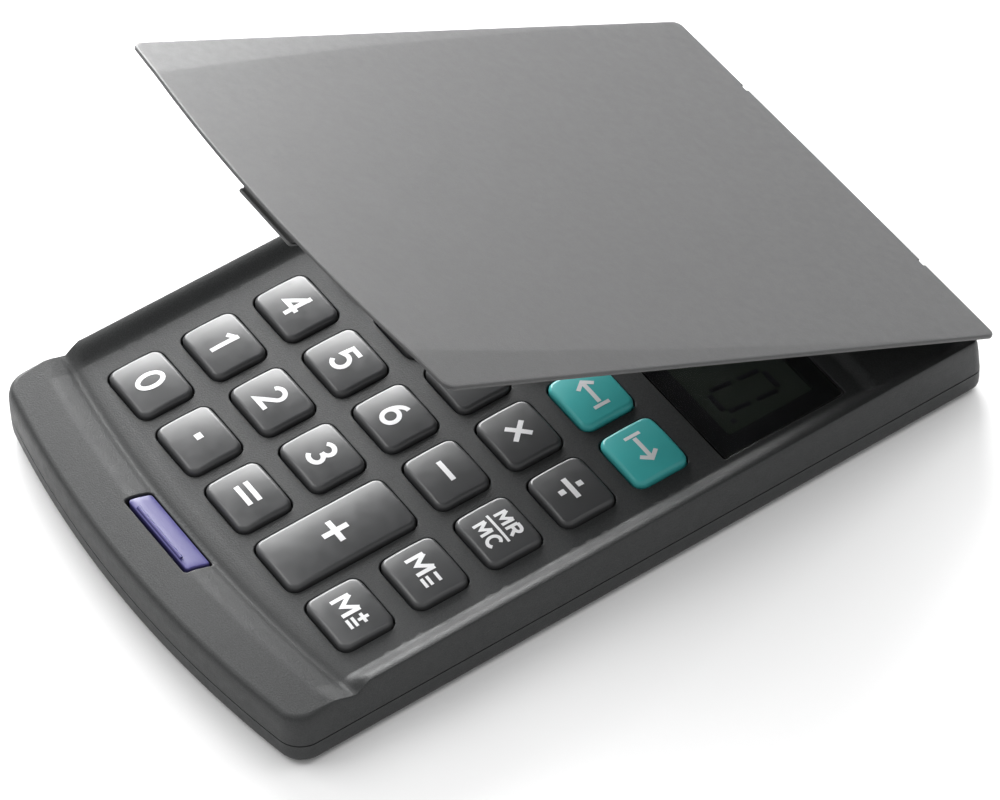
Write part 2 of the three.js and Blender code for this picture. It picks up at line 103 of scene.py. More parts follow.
# The moulded top: a deck with concave sides, a raised rear platform and a broad front lip.
DECK_Z = 7.3
RIM_RISE = 1.4
RIM_INSET = 0.6
FILLET_X = 29.2
FILLET_RUN = HALF_WIDTH - RIM_INSET - FILLET_X
FILLET_POWER = 0.85
FILLET_FADE = 0.88
FILLET_FADE_START = -1.65
FILLET_FADE_RUN = 2.2
PLATFORM_RISE = 0.9
PLATFORM_STEP_Y = 34.9
PLATFORM_STEP_RUN = 1.9
PLATFORM_ROOM = (29, 37.6, 46.6)
GROOVE_Y = -42.35
GROOVE_RADIUS = 195
GROOVE_DEPTH = 0.3
GROOVE_WIDTH = 0.65
GROOVE_AHEAD = 0.35
GROOVE_FADE = 0.67
SHOULDER_RISE, SHOULDER_BEHIND, SHOULDER_WIDTH = 0.035, 1.6, 0.6
LIP_RISE = 1.12
LIP_START = 0.2
LIP_LEAD = 0.6
LIP_SLOPE_RUN = 4.0
LIP_FALL = 0.22
LIP_FALL_RUN = 6.0
LIP_FALL_POWER = 1.6
LIP_SOFT_Y, LIP_SOFT_RUN = -41.0, 7.0

# Wall profiles, as (inset, share of the height), and the bottom's, as (inset, z).
RIM_PROFILE = (
    (0, 0), (0.1, 0.3), (0.2, 0.55), (0.3, 0.75), (0.38, 0.87), (0.46, 0.945), (0.55, 0.99), (0.6, 1),
)
LIP_PROFILE = (
    (0, 0), (0.03, 0.3), (0.07, 0.55), (0.14, 0.74), (0.27, 0.86), (0.48, 0.94), (0.75, 0.985), (1.1, 1),
)
BOTTOM_PROFILE = (
    (0, 3.45), (0, 2.6), (0.01, 1.7), (0.05, 1.25), (0.14, 0.95),
    (0.28, 0.73), (0.46, 0.59), (0.68, 0.52), (0.9, 0.5),
)

# Keys.
KEY_GAP = 0.25
KEY_FLANGE_RIM = 0.7
KEY_FLANGE_TOP_Z = 5.8
KEY_CORNER = 1.25
KEY_ROUND = 0.55
KEY_DROP = 0.5
KEY_CROWN = 0.34
KEY_DIP = 0.2
TALL_KEY_DEPTH = 10
TALL_KEY_STUB_Y = 5.25
LEGEND_HALF_THICK = 0.03
DOME_PROFILE = (
    (3.1, 0.5), (2.95, 0.52), (2.8, 0.57), (2.6, 0.68), (2.1, 0.84), (1.95, 0.89), (1.75, 0.92), (1.4, 0.93),
)

# Windows and the plate underneath: half width, front, back.
WINDOW = (28.6, 15.05, 33.05)
WINDOW_FLOOR_Z = 6.4
DISPLAY_OPENING = (25.7, 17.75, 30.55)
DISPLAY_CLEAR = (25.4, 18.0, 30.6)
SOLAR_WINDOW = (17.8, 38.3, 47.1)
SOLAR_FLOOR_Z = 7.5
SOLAR_OPENING = (16.6, 39.3, 46.1)
SOLAR_CLEAR = (16.4, 39.5, 45.9)
SOLAR_STRIP_X = (-9.9, -3.3, 3.3, 9.9)
PLATE_RECESS = (15, -6, 6)
PLATE = (14.8, -5.8, 5.8)

# Hinge and cover. The cover is drawn shut and then turned open.
HINGE_Y, HINGE_Z = (value / MM for value in JOINTS["cover_hinge"]["pos_m"][1:])
COVER_OPEN_DEG = 29.3
COVER_HALF_WIDTH = box_mm("flip_cover")[1][0]
COVER_FRONT_Y = -41.6
COVER_BACK_Y = 49.9
COVER_RADIUS = 193
COVER_CORNER = 1.5
COVER_BOTTOM_Z = 9.0
COVER_TOP_Z = 10.0
COVER_EDGE = 0.42
COVER_EDGE_PROFILE = (
    (0.3, 0.0), (0.17, 0.015), (0.06, 0.07), (0.0, 0.17), (0.0, COVER_EDGE), (0.08, COVER_EDGE + 0.05)
)
COVER_BOTTOM_INSET = 1.1
COVER_CROWN = 0.08
COVER_TRAY = (COVER_HALF_WIDTH - 2.2, COVER_FRONT_Y + 6.0, COVER_BACK_Y - 5.0)
COVER_TRAY_DEPTH = 0.25
CREASE_X, CREASE_DRIFT, CREASE_RUN, CREASE_POWER = 32.6, 5.3, 83, 1.8
FACET_SLOPE = 0.05
COVER_NOTCH_X, COVER_NOTCH_HALF, COVER_NOTCH_DEPTH = 18.4, 0.65, 0.55
TONGUE_X, TONGUE_Y, TONGUE_DEPTH, TONGUE_Z = 5.4, -40.9, 1.5, (8.6, 8.95)
TONGUE_ROOT = (-5.2, 5.2, -41.15, -40.0, 8.65, 9.4)
LUG_NEAR, LUG_FAR, LUG_RADIUS = 19.7, 23.9, 1.15
SLOT_NEAR, SLOT_FAR, SLOT_FRONT_Y, SLOT_BOTTOM_Z = 19.4, 24.2, 47.8, 2.5
PIN_RADIUS = 0.5
CASE_BORE, CASE_BORE_DEPTH = 0.56, 1.4
COVER_BORE, COVER_BORE_REACH = 0.58, 3

# Release rocker in the lip.
BUTTON_X, BUTTON_FRONT_Y, BUTTON_BACK_Y = 6.6, -46.4, -43.15
BUTTON_MIDDLE_X = -0.8
BUTTON_BOTTOM_Z = 5.3
BUTTON_ROUND = 0.22
BUTTON_SLOT = (6.9, -46.8, -42.95)
ROCKER_Y, ROCKER_Z = -44.8, 6.2
ROCKER_CHEEK_X, ROCKER_CHEEK = 9.5, 1.4
ROCKER_BORE, ROCKER_BORE_REACH = 0.72, 8.8
SPRING_POST = (0, -45.3, 0.6)

# Screws and feet.
SCREW_BOSS, SCREW_BORE = 1.7, 0.72
SCREW_HOLE = (
    (1.75, CASE_BOTTOM_Z), (1.6, CASE_BOTTOM_Z + 0.12), (1.6, 1.2), (0.8, 1.2), (0.8, FLOOR_Z)
)
FOOT_RECESS = ((3.3, CASE_BOTTOM_Z), (3.15, CASE_BOTTOM_Z + 0.12), (3.15, 1.0))
FOOT_PROFILE = ((0, 0.0), (2.2, 0.0), (2.6, 0.04), (2.85, 0.15), (2.97, 0.33), (3.0, 0.9), (0, 0.9))
RIB_Y = (-30, -10, 10, 28)


# ---- numbers and outlines ----


def smooth_step(t):
    t = np.clip(t, 0.0, 1.0)
    return t * t * (3.0 - 2.0 * t)


def mixed(a, b, share):
    return a + (b - a) * share


def highest(*rises):
    """The highest of several rises, rounded where two of them meet."""
    power = 5
    return sum(np.maximum(rise, 0.0) ** power for rise in rises) ** (1 / power)


def arc(x, y, radius, start, end, count):
    angles = np.linspace(start, end, count)
    return np.column_stack((x + radius * np.cos(angles), y + radius * np.sin(angles)))


def subdivided(loop, step):
    """The closed loop with each side split into parts no longer than step, and no double points."""
    parts = []
    for a, b in zip(loop, np.roll(loop, -1, axis=0)):
        length = np.linalg.norm(b - a)
        if length < 1e-4:
            continue
        count = math.ceil(length / step)
        parts.append(a + (b - a) * (np.arange(count) / count)[:, None])
    return np.vstack(parts)


def inward(loop):
    """Unit normals that point into an anticlockwise loop."""
    along = np.roll(loop, -1, axis=0) - np.roll(loop, 1, axis=0)
    normals = np.column_stack((-along[:, 1], along[:, 0]))
    return normals / np.linalg.norm(normals, axis=1)[:, None]


def rounded_rect(x, y, width, depth, radius, corner=6, along=(6, 6)):
    """Anticlockwise loop with the same number of points whatever its size."""
    right, left = x + width / 2 - radius, x - width / 2 + radius
    back, front = y + depth / 2 - radius, y - depth / 2 + radius
    quarter = math.pi / 2
    corners = [
        arc(right, back, radius, 0, quarter, corner),
        arc(left, back, radius, quarter, 2 * quarter, corner),
        arc(left, front, radius, 2 * quarter, 3 * quarter, corner),
        arc(right, front, radius, 3 * quarter, 4 * quarter, corner),
    ]
    loop = []
    for i, here in enumerate(corners):
        following = corners[(i + 1) % 4][0]
        count = along[i % 2]
        between = np.arange(1, count)[:, None] / count
        loop += [here, here[-1] + (following - here[-1]) * between]
    return np.vstack(loop)


def circle(x, y, radius, count=32):
    return arc(x, y, radius, 0, 2 * math.pi * (1 - 1 / count), count)


def bowed_outline(half_width, front, back, bow, front_corner, back_corner, step=1.0):
    """Anticlockwise outline with a straight back and sides and a bowed front edge."""
    bow_y = front + bow
    corner_x = half_width - front_corner
    corner_y = bow_y - math.sqrt((bow - front_corner) ** 2 - corner_x**2)
    spread = math.asin(corner_x / (bow - front_corner))
    down = -math.pi / 2
    bow_count = math.ceil(2 * spread * bow / step) + 2
    back_x, back_y = half_width - back_corner, back - back_corner
    pieces = [
        arc(back_x, back_y, back_corner, 0, math.pi / 2, 6),
        arc(-back_x, back_y, back_corner, math.pi / 2, math.pi, 6),
        arc(-corner_x, corner_y, front_corner, -math.pi, down - spread, 14),
        arc(0, bow_y, bow, down - spread, down + spread, bow_count),
        arc(corner_x, corner_y, front_corner, down + spread, 0, 14),
    ]
    return subdivided(np.vstack(pieces), step)


def inside(points, loop):
    """Which points lie in the closed loop."""
    x, y = points[:, :1], points[:, 1:]
    x0, y0 = loop.T
    x1, y1 = np.roll(loop, -1, axis=0).T
    crosses = (y0 > y) != (y1 > y)
    rise = np.where(y1 == y0, 1.0, y1 - y0)
    hits = crosses & (x < x0 + (y - y0) * (x1 - x0) / rise)
    return hits.sum(axis=1) % 2 == 1


def distance_to(points, loop):
    """Distance of each point from the nearest side of the closed loop."""
    side = np.roll(loop, -1, axis=0) - loop
    from_start = points[:, None, :] - loop[None, :, :]
    share = np.clip((from_start * side).sum(axis=2) / (side**2).sum(axis=1), 0, 1)
    return np.linalg.norm(from_start - share[:, :, None] * side, axis=2).min(axis=1)


def grid(x0, x1, y0, y1, dx, dy):
    """Points spread evenly over a rectangle, about dx and dy apart."""
    across = np.linspace(x0, x1, max(2, round((x1 - x0) / dx) + 1))
    along = np.linspace(y0, y1, max(2, round((y1 - y0) / dy) + 1))
    return np.array([(x, y) for x in across for y in along])


# ---- meshes ----

SHARP_DEG = 38
FINE = 1e-6  # what counts as the same point when triangles are filled in


class Mesh:
    """Points in millimetres and the faces between them, gathered loop by loop."""

    def __init__(self):
        self.points = []
        self.faces = []

    def loop(self, outline, z):
        """Adds a closed loop at height z, one number or one for each point, and returns its indexes."""
        heights = np.broadcast_to(z, len(outline))
        start = len(self.points)
        self.points += [(x, y, h) for (x, y), h in zip(outline, heights)]
        return list(range(start, start + len(outline)))

    def points_of(self, loop):
        return np.array([self.points[i][:2] for i in loop])

    def bridge(self, a, b):
        for i in range(len(a)):
            j = (i + 1) % len(a)
            self.faces.append((a[i], a[j], b[j], b[i]))

    def chain(self, loops):
        for a, b in zip(loops, loops[1:]):
            self.bridge(a, b)
        return loops

    def rings(self, x, y, steps, count):
        """Joined round loops about a point, one for each (radius, height)."""
        return self.chain([self.loop(circle(x, y, radius, count), z) for radius, z in steps])

    def cap(self, *loops):
        self.faces += [tuple(loop) for loop in loops]

    def fill(self, outer, holes=(), inner=None, height=0.0, clear=0.3):
        """Closes the area between a loop and its holes with triangles, through extra inner points."""
        loops = [outer, *holes]
        rings = [self.points_of(loop) for loop in loops]
        flat = np.vstack(rings)
        known = [i for loop in loops for i in loop]
        if inner is not None:
            spare = inner[self.within(inner, rings)]
            for ring in rings:
                spare = spare[distance_to(spare, ring) > clear]
            known += self.loop(spare, height(*spare.T) if callable(height) else height)
            flat = np.vstack((flat, spare))
        edges = []
        start = 0
        for loop in loops:
            count = len(loop)
            edges += [(start + k, start + (k + 1) % count) for k in range(count)]
            start += count
        found = delaunay_2d_cdt([Vector(p) for p in flat], edges, [], 0, FINE)
        corners, triangles, origins = np.array([tuple(v) for v in found[0]]), found[2], found[3]
        index = [known[origin[0]] for origin in origins]
        centres = corners[np.array(triangles)].mean(axis=1)
        wanted = self.within(centres, rings)
        self.faces += [tuple(index[i] for i in t) for t, ok in zip(triangles, wanted) if ok]

    @staticmethod
    def within(points, rings):
        keep = inside(points, rings[0])
        for ring in rings[1:]:
            keep &= ~inside(points, ring)
        return keep

    def object(self, name, material, sharp=SHARP_DEG):
        data = bpy.data.meshes.new(name)
        data.from_pydata([Vector(p) * MM for p in self.points], [], self.faces)
        shaped = bmesh.new()
        shaped.from_mesh(data)
        bmesh.ops.recalc_face_normals(shaped, faces=shaped.faces)
        shaped.to_mesh(data)
        shaped.free()
        data.materials.append(material)
        made = bpy.data.objects.new(name, data)
        bpy.context.scene.collection.objects.link(made)
        shade(made, sharp)
        return made


def shade(piece, sharp=SHARP_DEG):
    """Smooth shading that stays crisp at edges sharper than the angle, in degrees."""
    data = piece.data
    data.polygons.foreach_set("use_smooth", [True] * len(data.polygons))
    data.set_sharp_from_angle(angle=math.radians(sharp))
    data.update()


def settle(piece):
    """Applies the piece's modifiers to its mesh."""
    depsgraph = bpy.context.evaluated_depsgraph_get()
    data = bpy.data.meshes.new_from_object(piece.evaluated_get(depsgraph))
    piece.modifiers.clear()
    piece.data = data


def combine(piece, solid, operation, sharp=SHARP_DEG):
    """Joins another solid, a Mesh or an object, to a piece or cuts it away."""
    other = solid.object("other", piece.data.materials[0]) if isinstance(solid, Mesh) else solid
    modifier = piece.modifiers.new("combine", "BOOLEAN")
    modifier.operation = operation
    modifier.solver = "MANIFOLD"
    modifier.object = other
    settle(piece)
    bpy.data.objects.remove(other)
    shade(piece, sharp)


def weigh_normals(piece):
    """Keeps flat faces flat in shading next to small rounded edges."""
    modifier = piece.modifiers.new("normals", "WEIGHTED_NORMAL")
    modifier.mode = "FACE_AREA"
    modifier.keep_sharp = True
    modifier.weight = 50
    settle(piece)


def add_prism(mesh, outline, z0, z1):
    low, high = mesh.chain([mesh.loop(outline, z0), mesh.loop(outline, z1)])
    mesh.cap(low, high)


def add_box(mesh, x0, x1, y0, y1, z0, z1):
    add_prism(mesh, np.array(((x0, y0), (x1, y0), (x1, y1), (x0, y1))), z0, z1)


def add_lathe(mesh, profile, axis, place, count=32):
    """Turns a profile of (radius, distance) pairs, which starts and ends on the axis."""
    inner = profile[1:-1]
    turn = {
        "z": lambda a, b, along: (a, b, along),
        "x": lambda a, b, along: (along, a, b),
    }[axis]
    rings = []
    for radius, along in inner:
        start = len(mesh.points)
        for a, b in circle(0, 0, radius, count):
            mesh.points.append(tuple(np.add(turn(a, b, along), place)))
        rings.append(list(range(start, start + count)))
    mesh.chain(rings)
    for ring, (_, along) in ((rings[0], profile[0]), (rings[-1], profile[-1])):
        mesh.points.append(tuple(np.add(turn(0, 0, along), place)))
        tip = len(mesh.points) - 1
        mesh.faces += [(ring[i], ring[(i + 1) % count], tip) for i in range(count)]


def add_rod(mesh, radius, reach, place):
    """A round rod along x that reaches equally far to both sides of a place."""
    add_lathe(mesh, ((0, -reach), (radius, -reach), (radius, reach), (0, reach)), "x", place)


def add_tube(mesh, path, radius, sides=12):
    """A round tube with flat ends along a list of points."""
    path = np.array(path, float)
    tangents = np.gradient(path, axis=0)
    tangents /= np.linalg.norm(tangents, axis=1)[:, None]
    side = np.cross(tangents[0], (0.0, 0.0, 1.0))
    if np.linalg.norm(side) < 0.1:
        side = np.cross(tangents[0], (0.0, 1.0, 0.0))
    rings = []
    for centre, tangent in zip(path, tangents):
        side = side - tangent * np.dot(side, tangent)
        side /= np.linalg.norm(side)
        up = np.cross(tangent, side)
        start = len(mesh.points)
        for c, s in circle(0, 0, radius, sides):
            mesh.points.append(tuple(centre + side * c + up * s))
        rings.append(list(range(start, start + sides)))
    mesh.chain(rings)
    mesh.cap(rings[0], rings[-1])


def smooth_path(knots, per_span=8):
    """A Catmull-Rom curve through the knots."""
    knots = np.array(knots, float)
    padded = np.vstack((2 * knots[0] - knots[1], knots, 2 * knots[-1] - knots[-2]))
    points = []
    for a, b, c, d in zip(padded, padded[1:], padded[2:], padded[3:]):
        for t in np.arange(per_span) / per_span:
            cubic = (3 * b - a - 3 * c + d) * t**3
            points.append(0.5 * (2 * b + (c - a) * t + (2 * a - 5 * b + 4 * c - d) * t**2 + cubic))
    points.append(knots[-1])
    return points


def rounded_slab(outline_at, z0, z1, edge, steps=3):
    """A closed slab with rounded top and bottom edges; outline_at(inset) gives its loop."""
    mesh = Mesh()
    turns = [(1 - math.sin(a), 1 - math.cos(a)) for a in np.linspace(0, math.pi / 2, steps + 1)]
    lower = [mesh.loop(outline_at(edge * s), z0 + edge * c) for s, c in turns]
    upper = [mesh.loop(outline_at(edge * c), z1 - edge * s) for s, c in turns]
    rings = mesh.chain(lower + upper)
    mesh.fill(rings[0])
    mesh.fill(rings[-1])
    return mesh


def panel_outline(rect, corner=0.5, extra=0.0, along=(24, 8)):
    """Loop of one of the windows above, grown by extra on each side."""
    half, front, back = rect
    size = (2 * (half + extra), back - front + 2 * extra)
    return rounded_rect(0, (front + back) / 2, *size, max(corner + extra, 0.05), along=along)


def panel_slab(rect, corner, z0, z1, edge, extra=0.0):
    return rounded_slab(lambda inset: panel_outline(rect, corner, extra - inset), z0, z1, edge)


def mirrored(near, far):
    """The span from near to far on the left and on the right, each from low to high."""
    return (-far, -near), (near, far)



# ---- materials ----


class Finish:
    """A new material and short ways to add its nodes."""

    def __init__(self, name):
        self.material = bpy.data.materials.new(name)
        self.material.use_nodes = True
        self.tree = self.material.node_tree
        self.shader = self.tree.nodes["Principled BSDF"]
        self.place = self.tree.nodes.new("ShaderNodeTexCoord").outputs["Object"]

    def link(self, output, target):
        self.tree.links.new(output, target)

    def noise(self, size, detail=2.0, stretch=None):
        """Noise with features of about that size, in millimetres."""
        node = self.tree.nodes.new("ShaderNodeTexNoise")
        node.inputs["Scale"].default_value = 1 / (size * MM)
        node.inputs["Detail"].default_value = detail
        place = self.place
        if stretch:
            mapping = self.tree.nodes.new("ShaderNodeMapping")
            mapping.inputs["Scale"].default_value = stretch
            self.link(place, mapping.inputs["Vector"])
            place = mapping.outputs["Vector"]
        self.link(place, node.inputs["Vector"])
        return node.outputs["Fac"]

    def spread(self, value, low, high, start=0.3, end=0.7):
        """Maps the range from start to end onto the range from low to high."""
        node = self.tree.nodes.new("ShaderNodeMapRange")
        for socket, number in (("From Min", start), ("From Max", end), ("To Min", low), ("To Max", high)):
            node.inputs[socket].default_value = number
        self.link(value, node.inputs["Value"])
        return node.outputs["Result"]

    def mix(self, factor, first, second, blend="MIX"):
        """Mixes two colours, each given as numbers or as a socket."""
        node = self.tree.nodes.new("ShaderNodeMix")
        node.data_type = "RGBA"
        node.blend_type = blend
        for value, target in ((factor, node.inputs[0]), (first, node.inputs[6]), (second, node.inputs[7])):
            if isinstance(value, bpy.types.NodeSocket):
                self.link(value, target)
            else:
                target.default_value = value if target == node.inputs[0] else (*value, 1)
        return node.outputs[2]

    def colour(self, socket):
        self.link(socket, self.shader.inputs["Base Color"])

    def rough(self, value, middle, swing):
        """Roughness that wanders to both sides of a middle value."""
        self.link(self.spread(value, middle - swing, middle + swing), self.shader.inputs["Roughness"])

    def bump(self, height, depth):
        node = self.tree.nodes.new("ShaderNodeBump")
        node.inputs["Strength"].default_value = 1.0
        node.inputs["Distance"].default_value = depth * MM
        self.link(height, node.inputs["Height"])
        self.link(node.outputs["Normal"], self.shader.inputs["Normal"])

    def set(self, **values):
        for name, value in values.items():
            self.shader.inputs[name.replace("_", " ")].default_value = value


def moulded(name, colour, roughness, grain=0.25, depth=0.006, mottle=0.05, sparkle=0.0, gloss=0.5):
    """Moulded or painted plastic: fine spark grain, slight mottling and uneven gloss."""
    finish = Finish(name)
    colour = np.array(colour)
    mottling = finish.spread(finish.noise(6.0), 0, 1)
    tone = finish.mix(mottling, colour * (1 - mottle), np.minimum(colour * (1 + mottle), 1))
    if sparkle:
        glints = finish.spread(finish.noise(0.11, 1.0), 1 - sparkle, 1 + sparkle, 0.35, 0.65)
        tone = finish.mix(1, tone, glints, "MULTIPLY")
    finish.colour(tone)
    finish.rough(finish.noise(1.3), roughness, 0.04)
    finish.bump(finish.noise(grain, 3.0), depth)
    finish.set(Specular_IOR_Level=gloss)
    return finish.material


def metal(name, colour, roughness, stretch):
    """Bare metal with a fine grain along one direction."""
    finish = Finish(name)
    colour = np.array(colour)
    grain = finish.noise(0.4, 4.0, stretch)
    finish.colour(finish.mix(finish.spread(grain, 0, 1), colour * 0.85, colour))
    finish.rough(grain, roughness, 0.08)
    finish.bump(grain, 0.004)
    finish.set(Metallic=1.0)
    return finish.material


def clear_plastic():
    """Clear moulded window with faint waviness."""
    finish = Finish("clear_window")
    finish.rough(finish.noise(3.0), 0.06, 0.03)
    finish.colour(finish.mix(finish.noise(8.0), (0.93, 0.94, 0.95), (0.97, 0.98, 0.98)))
    finish.bump(finish.noise(7.0), 0.01)
    finish.set(Transmission_Weight=1.0, IOR=1.49)
    return finish.material


def striped(name, colours, pitch, roughness):
    """Two colours in straight bands along x, as on a connector or a solar film."""
    finish = Finish(name)
    wave = finish.tree.nodes.new("ShaderNodeTexWave")
    wave.bands_direction = "X"
    waves_per_unit = 0.05 * 2 * math.pi
    wave.inputs["Scale"].default_value = 1 / (pitch * MM) * waves_per_unit
    wave.inputs["Distortion"].default_value = 0.0
    finish.link(finish.place, wave.inputs["Vector"])
    finish.colour(finish.mix(finish.spread(wave.outputs["Fac"], 0, 1, 0.85, 0.95), *colours))
    finish.rough(finish.noise(2.0), roughness, 0.03)
    return finish.material


def board_material():
    """Green solder mask over faint copper tracks."""
    finish = Finish("board_green")
    cells = finish.tree.nodes.new("ShaderNodeTexVoronoi")
    cells.distance = "MANHATTAN"
    cells.feature = "DISTANCE_TO_EDGE"
    cells.inputs["Scale"].default_value = 1 / (3.0 * MM)
    finish.link(finish.place, cells.inputs["Vector"])
    tracks = finish.spread(cells.outputs["Distance"], 1, 0, 0.06, 0.1)
    finish.colour(finish.mix(tracks, (0.012, 0.13, 0.05), (0.05, 0.26, 0.1)))
    finish.rough(finish.noise(1.0), 0.36, 0.06)
    finish.bump(tracks, 0.02)
    return finish.material


CASE_PLASTIC = moulded(
    "case_plastic", (0.0305, 0.0318, 0.0322), 0.5,
    grain=0.22, depth=0.035, mottle=0.03, sparkle=0.25, gloss=0.3,
)
COVER_PAINT = moulded(
    "cover_paint", (0.051, 0.051, 0.052), 0.43, grain=0.2, depth=0.012, mottle=0.015, sparkle=0.12
)
KEY_GREY = moulded("key_grey", (0.06, 0.061, 0.063), 0.335, grain=0.5, depth=0.002, mottle=0.03, gloss=0.6)
KEY_TEAL = moulded("key_teal", (0.068, 0.51, 0.505), 0.335, grain=1.2, depth=0.004, mottle=0.04)
RELEASE_VIOLET = moulded("release_violet", (0.062, 0.056, 0.2), 0.36, grain=1.2, depth=0.004, mottle=0.04)
LEGEND_WHITE = moulded("legend_white", (0.86, 0.86, 0.87), 0.45, grain=0.4, depth=0.003, mottle=0.02)
BLACK_PLASTIC = moulded("black_plastic", (0.012, 0.012, 0.013), 0.45)
BLACK_MASK = moulded("black_mask", (0.004, 0.004, 0.005), 0.35, mottle=0.1)
BLACK_RUBBER = moulded("black_rubber", (0.018, 0.018, 0.019), 0.75, grain=0.5, depth=0.02, gloss=0.3)
MAT_RUBBER = moulded("mat_rubber", (0.45, 0.46, 0.48), 0.6, grain=0.5, depth=0.01)
WIRE_RED = moulded("wire_red", (0.45, 0.02, 0.015), 0.4)
SEGMENT_INK = moulded("segment_ink", (0.012, 0.013, 0.016), 0.35)
STEEL = metal("steel", (0.58, 0.58, 0.59), 0.38, (1, 1, 6))
FOIL = metal("label_foil", (0.55, 0.55, 0.56), 0.4, (0.1, 3, 3))
CLEAR = clear_plastic()
BOARD = board_material()
# LCD glass: its own dark grey-green, made darker still as painted shade that stands in for the shadow of the open
# cover above it.
SHADED_LCD_GLASS = moulded(
    "lcd_glass", (0.075, 0.09, 0.072), 0.22, grain=0.15, depth=0.002, mottle=0.03, sparkle=0.03
)
SOLAR_FILM = striped("solar_film", ((0.028, 0.014, 0.03), (0.006, 0.004, 0.008)), 5.5, 0.12)
ZEBRA = striped("zebra_rubber", ((0.5, 0.45, 0.42), (0.012, 0.012, 0.012)), 0.3, 0.6)


# ---- pieces and bodies ----


def stand_in(piece, node):
    """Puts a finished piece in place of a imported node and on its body."""
    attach(piece, BODY_OF[node])
    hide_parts(node)


# ---- upper case ----


def bell(distance, width):
    return np.exp(-((distance / width) ** 2))


def groove_distance(x, y):
    """Distance in front of the bowed groove that parts the deck from the lip."""
    return GROOVE_Y + x**2 / (2 * GROOVE_RADIUS) - y


def top_height(x, y):
    """Height of the moulded top, before its holes are cut."""
    ahead = groove_distance(x, y)
    run = np.clip((np.abs(x) - FILLET_X) / FILLET_RUN, 0, 1)
    fade = 1 - FILLET_FADE * smooth_step((ahead - FILLET_FADE_START) / FILLET_FADE_RUN)
    fillet = RIM_RISE * np.sin(math.pi / 2 * run**FILLET_POWER) ** 2 * fade
    platform = PLATFORM_RISE * smooth_step((y - PLATFORM_STEP_Y) / PLATFORM_STEP_RUN)
    climb = smooth_step((ahead - LIP_START + LIP_LEAD * run) / LIP_SLOPE_RUN)
    beyond = np.maximum(ahead - LIP_SLOPE_RUN, 0) / LIP_FALL_RUN
    lip = LIP_RISE * climb - LIP_FALL * beyond**LIP_FALL_POWER
    groove = GROOVE_DEPTH * bell(ahead - GROOVE_AHEAD, GROOVE_WIDTH) * (1 - GROOVE_FADE * run)
    shoulder = SHOULDER_RISE * bell(ahead + SHOULDER_BEHIND, SHOULDER_WIDTH)
    return DECK_Z + highest(fillet, platform, lip) - groove + shoulder


def case_outline():
    return bowed_outline(HALF_WIDTH, FRONT_Y, BACK_Y, FRONT_RADIUS, FRONT_CORNER, BACK_CORNER)


def outer_wall(mesh):
    """The wall from the seam up to the ridge, softer along the front lip than at the sides."""
    outline = case_outline()
    normals = inward(outline)
    lip = smooth_step((LIP_SOFT_Y - outline[:, 1]) / LIP_SOFT_RUN)
    ridge = outline + normals * mixed(RIM_PROFILE[-1][0], LIP_PROFILE[-1][0], lip)[:, None]
    ridge_z = top_height(*ridge.T)
    loops = []
    for (rim_inset, rim_share), (lip_inset, lip_share) in zip(RIM_PROFILE, LIP_PROFILE):
        inset = mixed(rim_inset, lip_inset, lip)
        share = mixed(rim_share, lip_share, lip)
        loops.append(mesh.loop(outline + normals * inset[:, None], mixed(SEAM_Z, ridge_z, share)))
    inner = outline + normals * WALL
    seam = mesh.loop(inner, SEAM_Z)
    mesh.bridge(seam, loops[0])
    mesh.chain(loops)
    return seam, loops[-1], inner


def rounded_hole(mesh, outline_at, bottom_z, edge=0.15):
    """Loops of a hole with a small rounded top edge; returns the first and the last."""
    loops = []
    for grow, drop in ((1, 0), (0.62, 0.08), (0.29, 0.29), (0.08, 0.62), (0, 1)):
        outline = outline_at(grow * edge)
        loops.append(mesh.loop(outline, top_height(*outline.T) - drop * edge))
    loops.append(mesh.loop(outline_at(0), bottom_z))
    mesh.chain(loops)
    return loops[0], loops[-1]


def recess(mesh, rect, opening, floor_z, bottom_z):
    """A window's recess and the smaller opening in its floor."""
    top, floor = rounded_hole(mesh, lambda extra: panel_outline(rect, 0.4, extra), floor_z, 0.12)
    inner, bottom = (mesh.loop(panel_outline(opening, 0.4), z) for z in (floor_z, bottom_z))
    mesh.chain([floor, inner, bottom])
    return top, bottom


def key_sizes():
    """Name, centre and cap size of each key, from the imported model."""
    for node in nodes_named("key_"):
        if node != "key_mat":
            low, high = box_mm(node)
            yield node, *middle_mm(node), *(high[:2] - low[:2] - 2 * KEY_FLANGE_RIM)


def key_parts(depth):
    """How many parts a key's straight sides are split into."""
    return 10, 10 if depth < TALL_KEY_DEPTH else 20


def key_outline(x, y, width, depth, inset=0.0):
    radius = max(KEY_CORNER - inset, 0.5)
    return rounded_rect(x, y, width - 2 * inset, depth - 2 * inset, radius, along=key_parts(depth))


def top_points():
    """Points that carry the moulded top's curved areas, denser where it curves more."""
    side = FILLET_X - 0.4
    edge = HALF_WIDTH - 0.7
    step_y = PLATFORM_STEP_Y
    lip_back_y = -38.5
    areas = [
        grid(-side, side, -41.0, BACK_Y - 1, 2.4, 2.4),
        grid(side, edge, lip_back_y, BACK_Y - 0.8, 0.34, 1.1),
        grid(-edge, -side, lip_back_y, BACK_Y - 0.8, 0.34, 1.1),
        grid(-edge, edge, -51.5, lip_back_y, 0.9, 0.33),
        grid(side, edge, -48.5, lip_back_y, 0.4, 0.4),
        grid(-edge, -side, -48.5, lip_back_y, 0.4, 0.4),
        grid(-edge, edge, step_y - 0.3, step_y + PLATFORM_STEP_RUN + 0.3, 1.3, 0.27),
    ]
    return np.unique(np.round(np.vstack(areas), 3), axis=0)


def button_slot_outline(extra):
    return panel_outline(BUTTON_SLOT, 0.5, extra) + np.array((BUTTON_MIDDLE_X, 0))


